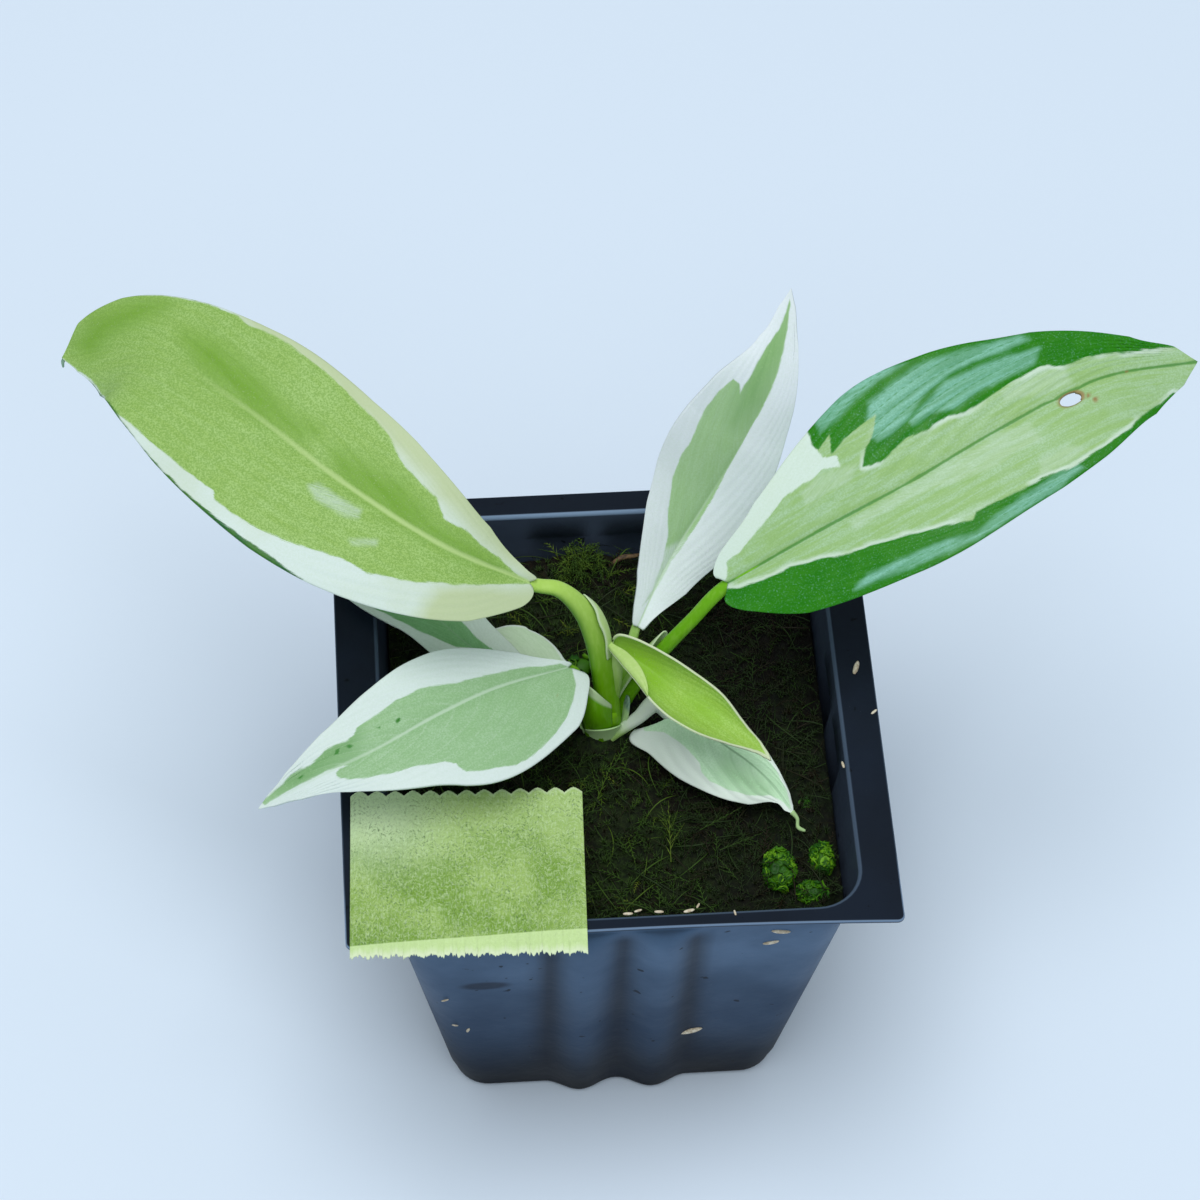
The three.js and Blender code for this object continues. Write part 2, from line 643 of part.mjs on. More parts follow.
function makeTape() {
  const outline = new THREE.Shape();
  const random = seededRandom(3);
  outline.moveTo(0, 0);
  for (let i = 1; i < TORN_STEPS; i += 1) {
    outline.lineTo((TAPE_WIDTH * i) / TORN_STEPS, mix(...TORN_DEPTH, random()));
  }
  outline.lineTo(TAPE_WIDTH, 0);
  const pitch = TAPE_WIDTH / TAPE_TEETH;
  for (let i = TAPE_TEETH; i > 0; i -= 1) {
    outline.lineTo(pitch * i, TAPE_LENGTH);
    outline.lineTo(pitch * (i - 0.5), TAPE_LENGTH + TAPE_TOOTH_DEPTH);
  }
  outline.lineTo(0, TAPE_LENGTH);
  outline.closePath();
  return withoutSlivers(new THREE.ExtrudeGeometry(outline, { depth: TAPE_THICKNESS, bevelEnabled: false }));
}

// Assembly

const plant = new THREE.Group();

function place(name, geometry, color, roughness) {
  const material = new THREE.MeshStandardMaterial({ color, roughness, metalness: 0 });
  const mesh = new THREE.Mesh(geometry, material);
  mesh.name = name;
  plant.add(mesh);
  return mesh;
}

place('pot', makePot(), 0x15191f, 0.5);

const crownClearance = makeCrown(GAP);
place('growing_medium', makeMedium(crownClearance), 0x2a2a12, 0.95);
place('crown', geometryOf(makeCrown(0)), 0x9db562, 0.6);

// Each leaf gives way to the crown and to the stalks of the leaves before it
const order = Object.keys(LEAVES);
const youngStalk = inflatedStalk(LEAVES.leaf_young_rolled);
const sheath = inflatedStalk(LEAVES.leaf_left_large);
order.forEach((name, index) => {
  const leaf = LEAVES[name];
  let body = makeLeafSolid(leaf, name === 'leaf_young_rolled' ? sheath : null).subtract(crownClearance);
  if (name === 'leaf_left_large') {
    body = body.subtract(youngStalk);
  } else if (name !== 'leaf_young_rolled') {
    for (const earlier of order.slice(0, index)) body = body.subtract(inflatedStalk(LEAVES[earlier]));
  }
  if (name === 'leaf_right_large') body = body.subtract(biteTool(leaf));
  place(name, geometryOf(largest(body)), leaf.color, 0.5);
});

const tape = place('tape', makeTape(), 0xa5cf6a, 0.8);
tape.position.set(TAPE_CORNER[0], TAPE_CORNER[1], POT_HEIGHT + GAP);
tape.rotation.z = TAPE_TURN;

export default plant;
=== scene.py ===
import math
import random

import bmesh
import bpy
import numpy as np
from mathutils import Matrix, Vector
from mathutils.noise import turbulence


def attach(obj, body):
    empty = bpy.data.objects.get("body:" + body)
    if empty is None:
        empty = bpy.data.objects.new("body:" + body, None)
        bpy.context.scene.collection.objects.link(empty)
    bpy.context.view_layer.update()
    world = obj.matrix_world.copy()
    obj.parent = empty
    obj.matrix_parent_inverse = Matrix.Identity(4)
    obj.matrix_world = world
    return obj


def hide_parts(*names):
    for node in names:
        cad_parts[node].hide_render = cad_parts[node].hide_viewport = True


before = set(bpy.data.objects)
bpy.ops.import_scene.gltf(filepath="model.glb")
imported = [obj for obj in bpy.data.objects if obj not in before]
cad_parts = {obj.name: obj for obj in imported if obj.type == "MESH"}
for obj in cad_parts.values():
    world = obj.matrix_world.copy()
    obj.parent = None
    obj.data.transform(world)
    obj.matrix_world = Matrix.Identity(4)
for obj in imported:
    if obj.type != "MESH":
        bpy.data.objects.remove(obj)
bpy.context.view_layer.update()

# A young potted plant with eight leaves, in metres. Sizes named _MM and the leaves' own numbers are in
# millimetres, and pixel places are those of the photograph's 1200 by 1200 frame.
MM = 0.001
FRAME_PIXELS = 1200

# Camera
CAMERA_PLACE = (-0.03168, -0.36362, 0.59684)
CAMERA_AZIMUTH = -4.738
CAMERA_ELEVATION = 53.614
CAMERA_ROLL = 1.122
FOCAL_PIXELS = 4000
SENSOR_MM = 36
CLIP_METRES = (0.01, 20)


def camera_axes():
    """Right, up and back of the camera."""
    azimuth, elevation, roll = (math.radians(a) for a in (CAMERA_AZIMUTH, CAMERA_ELEVATION, CAMERA_ROLL))
    back = Vector((
        math.sin(azimuth) * math.cos(elevation),
        -math.cos(azimuth) * math.cos(elevation),
        math.sin(elevation),
    ))
    level = (-back).cross(Vector((0, 0, 1))).normalized()
    upright = level.cross(-back)
    right = math.cos(roll) * level + math.sin(roll) * upright
    up = -math.sin(roll) * level + math.cos(roll) * upright
    return right, up, back


def make_camera():
    data = bpy.data.cameras.new("camera")
    data.sensor_width = SENSOR_MM
    data.lens = SENSOR_MM * FOCAL_PIXELS / FRAME_PIXELS
    data.clip_start, data.clip_end = CLIP_METRES
    camera = bpy.data.objects.new("camera", data)
    axes = Matrix(camera_axes()).transposed().to_4x4()
    camera.matrix_world = Matrix.Translation(CAMERA_PLACE) @ axes
    bpy.context.scene.collection.objects.link(camera)
    bpy.context.scene.camera = camera


def seen_at(points):
    """The pixels at which points in metres show, and the size of a pixel there, in millimetres."""
    right, up, back = (np.array(axis) for axis in camera_axes())
    away = points - np.array(CAMERA_PLACE)
    depth = -away @ back
    x = FRAME_PIXELS / 2 + FOCAL_PIXELS * (away @ right) / depth
    y = FRAME_PIXELS / 2 - FOCAL_PIXELS * (away @ up) / depth
    return np.stack([x, y], axis=1), depth / FOCAL_PIXELS / MM


def seen_on(pixel, point, normal):
    """The place in millimetres on a plane that shows at a pixel."""
    right, up, back = (np.array(axis) for axis in camera_axes())
    ray = -back * FOCAL_PIXELS + right * (pixel[0] - FRAME_PIXELS / 2) + up * (FRAME_PIXELS / 2 - pixel[1])
    place, normal = np.array(CAMERA_PLACE) / MM, np.array(normal, dtype=float)
    return place + ray * ((np.array(point, dtype=float) - place) @ normal / (ray @ normal))


# Smooth lines through a few values


def mix(a, b, share):
    return a + (b - a) * share


def smooth(share):
    share = np.clip(share, 0, 1)
    return share * share * (3 - 2 * share)


def bump(distance, width):
    return np.exp(-(distance / width) ** 2)


def through(values, share):
    """Catmull-Rom through evenly spaced values or points."""
    values = np.asarray(values, dtype=float)
    last = len(values) - 1
    place = np.clip(share, 0, 1) * last
    index = np.minimum(place.astype(int), last - 1)
    f = place - index
    if values.ndim > 1:
        f = f[:, None]
    ends = np.concatenate([[2 * values[0] - values[1]], values, [2 * values[-1] - values[-2]]])
    a, b, c, d = ends[index], ends[index + 1], ends[index + 2], ends[index + 3]
    return 0.5 * (2 * b + (c - a) * f + (2 * a - 5 * b + 4 * c - d) * f**2 + (3 * b - a - 3 * c + d) * f**3)


def unit(vectors):
    return vectors / np.maximum(np.linalg.norm(vectors, axis=-1, keepdims=True), 1e-9)


def inside_by(points, outline):
    """How far points lie inside a closed outline, negative outside it."""
    corners = np.asarray(outline, dtype=float)
    following = np.roll(corners, -1, axis=0)
    nearest = np.full(len(points), np.inf)
    inside = np.zeros(len(points), dtype=bool)
    x, y = points[:, 0], points[:, 1]
    for start, end in zip(corners, following):
        edge = end - start
        share = np.clip((points - start) @ edge / max(edge @ edge, 1e-9), 0, 1)
        gap = points - start - share[:, None] * edge
        nearest = np.minimum(nearest, np.hypot(gap[:, 0], gap[:, 1]))
        if start[1] != end[1]:
            spans = (start[1] > y) != (end[1] > y)
            crossing = start[0] + (y - start[1]) * edge[0] / edge[1]
            inside ^= spans & (x < crossing)
    return np.where(inside, nearest, -nearest)


# Meshes

# Corners closer than this, in metres, are joined into one
SEAM_METRES = 1e-6


def grid_mesh(rows, columns, place):
    """A bmesh grid whose corners go where place puts them. u runs from 0 to 1 and v from -1 to 1."""
    mesh = bmesh.new()
    bmesh.ops.create_grid(mesh, x_segments=rows, y_segments=columns, size=1)
    flat = np.array([corner.co[:2] for corner in mesh.verts])
    u, v = (flat[:, 0] + 1) / 2, flat[:, 1]
    for corner, spot in zip(mesh.verts, place(u, v)):
        corner.co = spot
    return mesh, u, v


def keep_map(mesh, name, values):
    """Writes a UV map from one pair of values for each corner."""
    layer = mesh.loops.layers.uv.new(name)
    for face in mesh.faces:
        for loop in face.loops:
            loop[layer].uv = values[loop.vert.index]


def keep_values(mesh, name, values):
    """Writes a named value on each corner, for the material to read."""
    layer = mesh.verts.layers.float.new(name)
    for corner, value in zip(mesh.verts, values):
        corner[layer] = value


def add_piece(name, mesh, materials, replaces=None, soft=True):
    """Makes the bmesh a piece that rides on the plant."""
    for face in mesh.faces:
        face.smooth = soft
    data = bpy.data.meshes.new(name)
    mesh.to_mesh(data)
    mesh.free()
    for material in materials:
        data.materials.append(material)
    piece = bpy.data.objects.new(name, data)
    bpy.context.scene.collection.objects.link(piece)
    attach(piece, "root")
    if replaces:
        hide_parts(replaces)
    return piece


def join_seams(mesh):
    bmesh.ops.remove_doubles(mesh, verts=mesh.verts, dist=SEAM_METRES)


def thicken(sheet, thickness_mm, underside=0):
    """Gives a thin sheet its thickness, half to each side. underside is the step to its back's material."""
    shell = sheet.modifiers.new("thickness", "SOLIDIFY")
    shell.thickness = thickness_mm * MM
    shell.offset = 0
    shell.material_offset = underside


# Node trees


def colour(red, green, blue):
    """A colour as it shows, 0 to 255, in the renderer's own terms."""
    def linear(level):
        share = level / 255
        return share / 12.92 if share <= 0.04045 else ((share + 0.055) / 1.055) ** 2.4
    return (linear(red), linear(green), linear(blue), 1)


def node(tree, kind, inputs=None, **settings):
    made = tree.nodes.new(kind)
    for key, value in settings.items():
        setattr(made, key, value)
    for key, value in (inputs or {}).items():
        socket = made.inputs[key]
        if isinstance(value, bpy.types.NodeSocket):
            tree.links.new(value, socket)
        else:
            socket.default_value = value
    return made


def sums(tree, operation, *values):
    inputs = dict(enumerate(values))
    return node(tree, "ShaderNodeMath", inputs, operation=operation).outputs[0]


def step(tree, value, low, high, first=0, last=1):
    """A smooth step from first to last, as value goes from low to high."""
    inputs = {"Value": value, "From Min": low, "From Max": high, "To Min": first, "To Max": last}
    return node(tree, "ShaderNodeMapRange", inputs, interpolation_type="SMOOTHSTEP").outputs[0]


def blend(tree, share, first, second):
    return node(tree, "ShaderNodeMix", {0: share, 6: first, 7: second}, data_type="RGBA").outputs[2]


def noise(tree, place, scale, detail=2, roughness=0.5):
    inputs = {"Vector": place, "Scale": scale, "Detail": detail, "Roughness": roughness}
    return node(tree, "ShaderNodeTexNoise", inputs).outputs["Fac"]


def value_of(tree, name):
    return node(tree, "ShaderNodeAttribute", attribute_name=name).outputs["Fac"]


def object_place(tree):
    return node(tree, "ShaderNodeTexCoord").outputs["Object"]


def stretched(tree, place, scale):
    return node(tree, "ShaderNodeMapping", {"Vector": place, "Scale": scale}).outputs[0]


def new_group(name, inputs, outputs):
    """A shader node group with named sockets: returns it with its input and output nodes."""
    group = bpy.data.node_groups.new(name, "ShaderNodeTree")
    kinds = {"colour": "NodeSocketColor", "value": "NodeSocketFloat"}
    for label, kind in inputs.items():
        group.interface.new_socket(label, in_out="INPUT", socket_type=kinds[kind])
    for label, kind in outputs.items():
        group.interface.new_socket(label, in_out="OUTPUT", socket_type=kinds[kind])
    return group, group.nodes.new("NodeGroupInput").outputs, group.nodes.new("NodeGroupOutput").inputs


def use_group(tree, group, values):
    made = tree.nodes.new("ShaderNodeGroup")
    made.node_tree = group
    for key, value in values.items():
        if isinstance(value, bpy.types.NodeSocket):
            tree.links.new(value, made.inputs[key])
        else:
            made.inputs[key].default_value = value
    return made.outputs


def new_material(name):
    material = bpy.data.materials.new(name)
    material.use_nodes = True
    tree = material.node_tree
    shader = next(n for n in tree.nodes if n.type == "BSDF_PRINCIPLED")
    return material, tree, shader


def bump_from(tree, height, distance_mm):
    return node(tree, "ShaderNodeBump", {"Height": height, "Distance": distance_mm * MM}).outputs[0]


def product(tree, first, *factors):
    for factor in factors:
        first = sums(tree, "MULTIPLY", first, factor)
    return first


def over(tree, base, *layers):
    """Lays tones over a base one after the other. Each layer is the share that it covers, and its tone."""
    for share, tone in layers:
        base = blend(tree, share, base, tone)
    return base


def finish(tree, shader, base, roughness, specular=None):
    """Joins a colour and a roughness to the shader, and sets its gloss where that isn't the usual one."""
    tree.links.new(base, shader.inputs["Base Color"])
    if isinstance(roughness, bpy.types.NodeSocket):
        tree.links.new(roughness, shader.inputs["Roughness"])
    else:
        shader.inputs["Roughness"].default_value = roughness
    if specular is not None:
        shader.inputs["Specular IOR Level"].default_value = specular


# One finish for every leaf. The masks are signed distances in millimetres that each blade carries: green is
# the coloured middle, dark the deep green sectors, deep and pale the soft streaks inside the middle, and
# sheen the parts of the dark sectors that carry a painted sheen, a pale bluish reflection painted into the
# colour.
LEAF_INPUTS = {
    "Ground": "colour", "Grain": "colour", "Vein": "colour", "Deep": "colour", "Dark": "colour",
    "Sheen": "colour", "White": "colour", "Cream": "colour", "Midrib": "colour", "Midrib Width": "value",
    "Midrib Reach": "value", "Grain Share": "value", "Vein Share": "value", "Streak Share": "value",
    "Line Share": "value", "Rim Share": "value", "Pale Share": "value", "Ragged": "value",
}


# How fast the patterns change: on the maps for each millimetre, across and along, and on the object for
# each metre
VEIN_STRETCH = (1.6, 0.22, 1)
FINE_VEIN_STRETCH = (6, 0.7, 1)
STREAK_STRETCH = (0.07, 1.1, 1)
GRAIN_SCALE = 3200
MOTTLE_SCALE = 260
CLOUD_SCALE = 90
# Half the width of the step between two colours of the variegation, in millimetres
SHARP_MM = 0.12
SCAR_BROWN = (150, 116, 74)


def make_leaf_group():
    """The colour of a variegated blade, with the masks that its roughness and its relief are made from."""
    outputs = {"Colour": "colour", "Dark": "value", "Grain": "value"}
    group, given, out = new_group("Leaf colour", LEAF_INPUTS, outputs)
    place = object_place(group)
    veins = node(group, "ShaderNodeUVMap", uv_map="veins").outputs[0]
    blade = node(group, "ShaderNodeUVMap", uv_map="blade").outputs[0]
    along = noise(group, stretched(group, veins, VEIN_STRETCH), 1.0, 3)
    fine_along = noise(group, stretched(group, veins, FINE_VEIN_STRETCH), 1.0, 2)
    streaks = noise(group, stretched(group, blade, STREAK_STRETCH), 1.0, 3, 0.6)
    grain = noise(group, place, GRAIN_SCALE, 3, 0.85)
    mottle = noise(group, place, MOTTLE_SCALE, 4)
    cloud = noise(group, place, CLOUD_SCALE, 2)
    off_vein = value_of(group, "off_vein")
    ragged = sums(group, "ADD", sums(group, "SUBTRACT", fine_along, 0.5),
                  product(group, sums(group, "SUBTRACT", mottle, 0.5), 1.2))
    ragged = product(group, ragged, given["Ragged"])

    def mask(name, low, high, rough=1.0):
        """A mark of the blade as a share, with an edge that wanders."""
        wandering = sums(group, "MULTIPLY_ADD", ragged, rough, value_of(group, name))
        return step(group, wandering, low, high)

    def sharp(name):
        return mask(name, -SHARP_MM, SHARP_MM)

    middle = over(
        group, given["Ground"],
        (product(group, step(group, along, 0.38, 0.68), given["Vein Share"]), given["Vein"]),
        (product(group, step(group, streaks, 0.42, 0.6), given["Streak Share"]), given["Vein"]),
        (step(group, mottle, 0.45, 0.7, 0, 0.3), given["Vein"]),
        (product(group, mask("deep", -3.5, 3.0, 2.0), 0.85), given["Deep"]),
        (product(group, step(group, off_vein, 0.0, 0.5, 1, 0), given["Line Share"]), given["Midrib"]),
        (product(group, step(group, grain, 0.42, 0.62), given["Grain Share"]), given["Grain"]),
        (product(group, step(group, grain, 0.56, 0.68), given["Grain Share"], 0.6), given["Vein"]),
        (product(group, mask("pale", -0.6, 0.6), step(group, fine_along, 0.36, 0.56, 0.35, 1),
                 given["Pale Share"]), given["White"]),
    )
    cream_share = sums(group, "MULTIPLY_ADD", step(group, cloud, 0.4, 0.65), 0.25, mask("cream", -2.5, 2.5))
    margin = over(
        group, given["White"],
        (cream_share, given["Cream"]),
        (step(group, grain, 0.4, 0.62, 0, 0.1), given["Ground"]),
    )
    off_midrib = sums(group, "MULTIPLY_ADD", ragged, 0.3, value_of(group, "off_midrib"))
    reach = given["Midrib Reach"]
    midrib = product(
        group,
        step(group, off_midrib, product(group, given["Midrib Width"], 0.3), given["Midrib Width"], 1, 0),
        step(group, value_of(group, "along"), product(group, reach, 0.4), reach, 0.8, 0),
    )
    # Painted sheen: the sheen colour laid over the dark sectors as a painted reflection, broken by streaks,
    # grain and veins
    painted_sheen = product(
        group, mask("sheen", -0.5, 0.6), step(group, streaks, 0.35, 0.65, 0.55, 1),
        step(group, grain, 0.4, 0.6, 1, 0.7), step(group, off_vein, 0.1, 0.9, 0.35, 1),
    )
    sector = over(
        group, given["Dark"],
        (step(group, mottle, 0.3, 0.7, 0.0, 0.35), given["Deep"]),
        (painted_sheen, given["Sheen"]),
        # Painted glints: light specks of the sheen colour over the dark sectors
        (step(group, grain, 0.54, 0.7, 0, 0.4), given["Sheen"]),
    )
    dark_share = sharp("dark")
    rim = product(group, mask("dark", -0.9, -0.3), given["Rim Share"], step(group, cloud, 0.4, 0.55))
    full = over(
        group, margin,
        (sharp("green"), middle),
        (midrib, given["Midrib"]),
        (rim, given["White"]),
        (dark_share, sector),
        (value_of(group, "scar"), colour(*SCAR_BROWN)),
    )
    group.links.new(full, out["Colour"])
    group.links.new(dark_share, out["Dark"])
    group.links.new(grain, out["Grain"])
    return group


LEAF_GROUP = make_leaf_group()


UNDERSIDE_TINT = (196, 214, 186)
WAXY_SPECULAR = 0.15


def leaf_material(name, paint, under=False):
    """The blade's face, or with under its paler and duller underside."""
    material, tree, shader = new_material(name)
    made = use_group(tree, LEAF_GROUP, paint)
    if under:
        base = over(tree, made["Colour"], (0.3, colour(*UNDERSIDE_TINT)))
        finish(tree, shader, base, 0.6, WAXY_SPECULAR)
    else:
        finish(tree, shader, made["Colour"], step(tree, made["Dark"], 0, 1, 0.45, 0.32), WAXY_SPECULAR)
    tree.links.new(bump_from(tree, made["Grain"], 0.04), shader.inputs["Normal"])
    return material


# Leaves

WIDTH_STATIONS = (0, 0.05, 0.14, 0.3, 0.5, 0.7, 0.86, 0.95, 1)
BLADE_THICKNESS_MM = 0.5
SHEATH_THICKNESS_MM = 0.22
SLOPE_STEP = 1e-3
# How bluntly the blade opens at its base: 1 is a straight cut, and less is rounder
BASE_ROUNDING = 0.65
# How far the swept lobes and the waves keep to the edge: a power of the distance from the midrib
SWEEP_POWER = 1.5
WAVE_POWER = 3
VEIN_POWER = 1.4
GROOVE_WIDTH_MM = 0.7
# Shares of the blade's length, from its base and its tip, over which the side veins come in
VEINLESS_BASE = 0.3
VEINLESS_TIP = 0.2

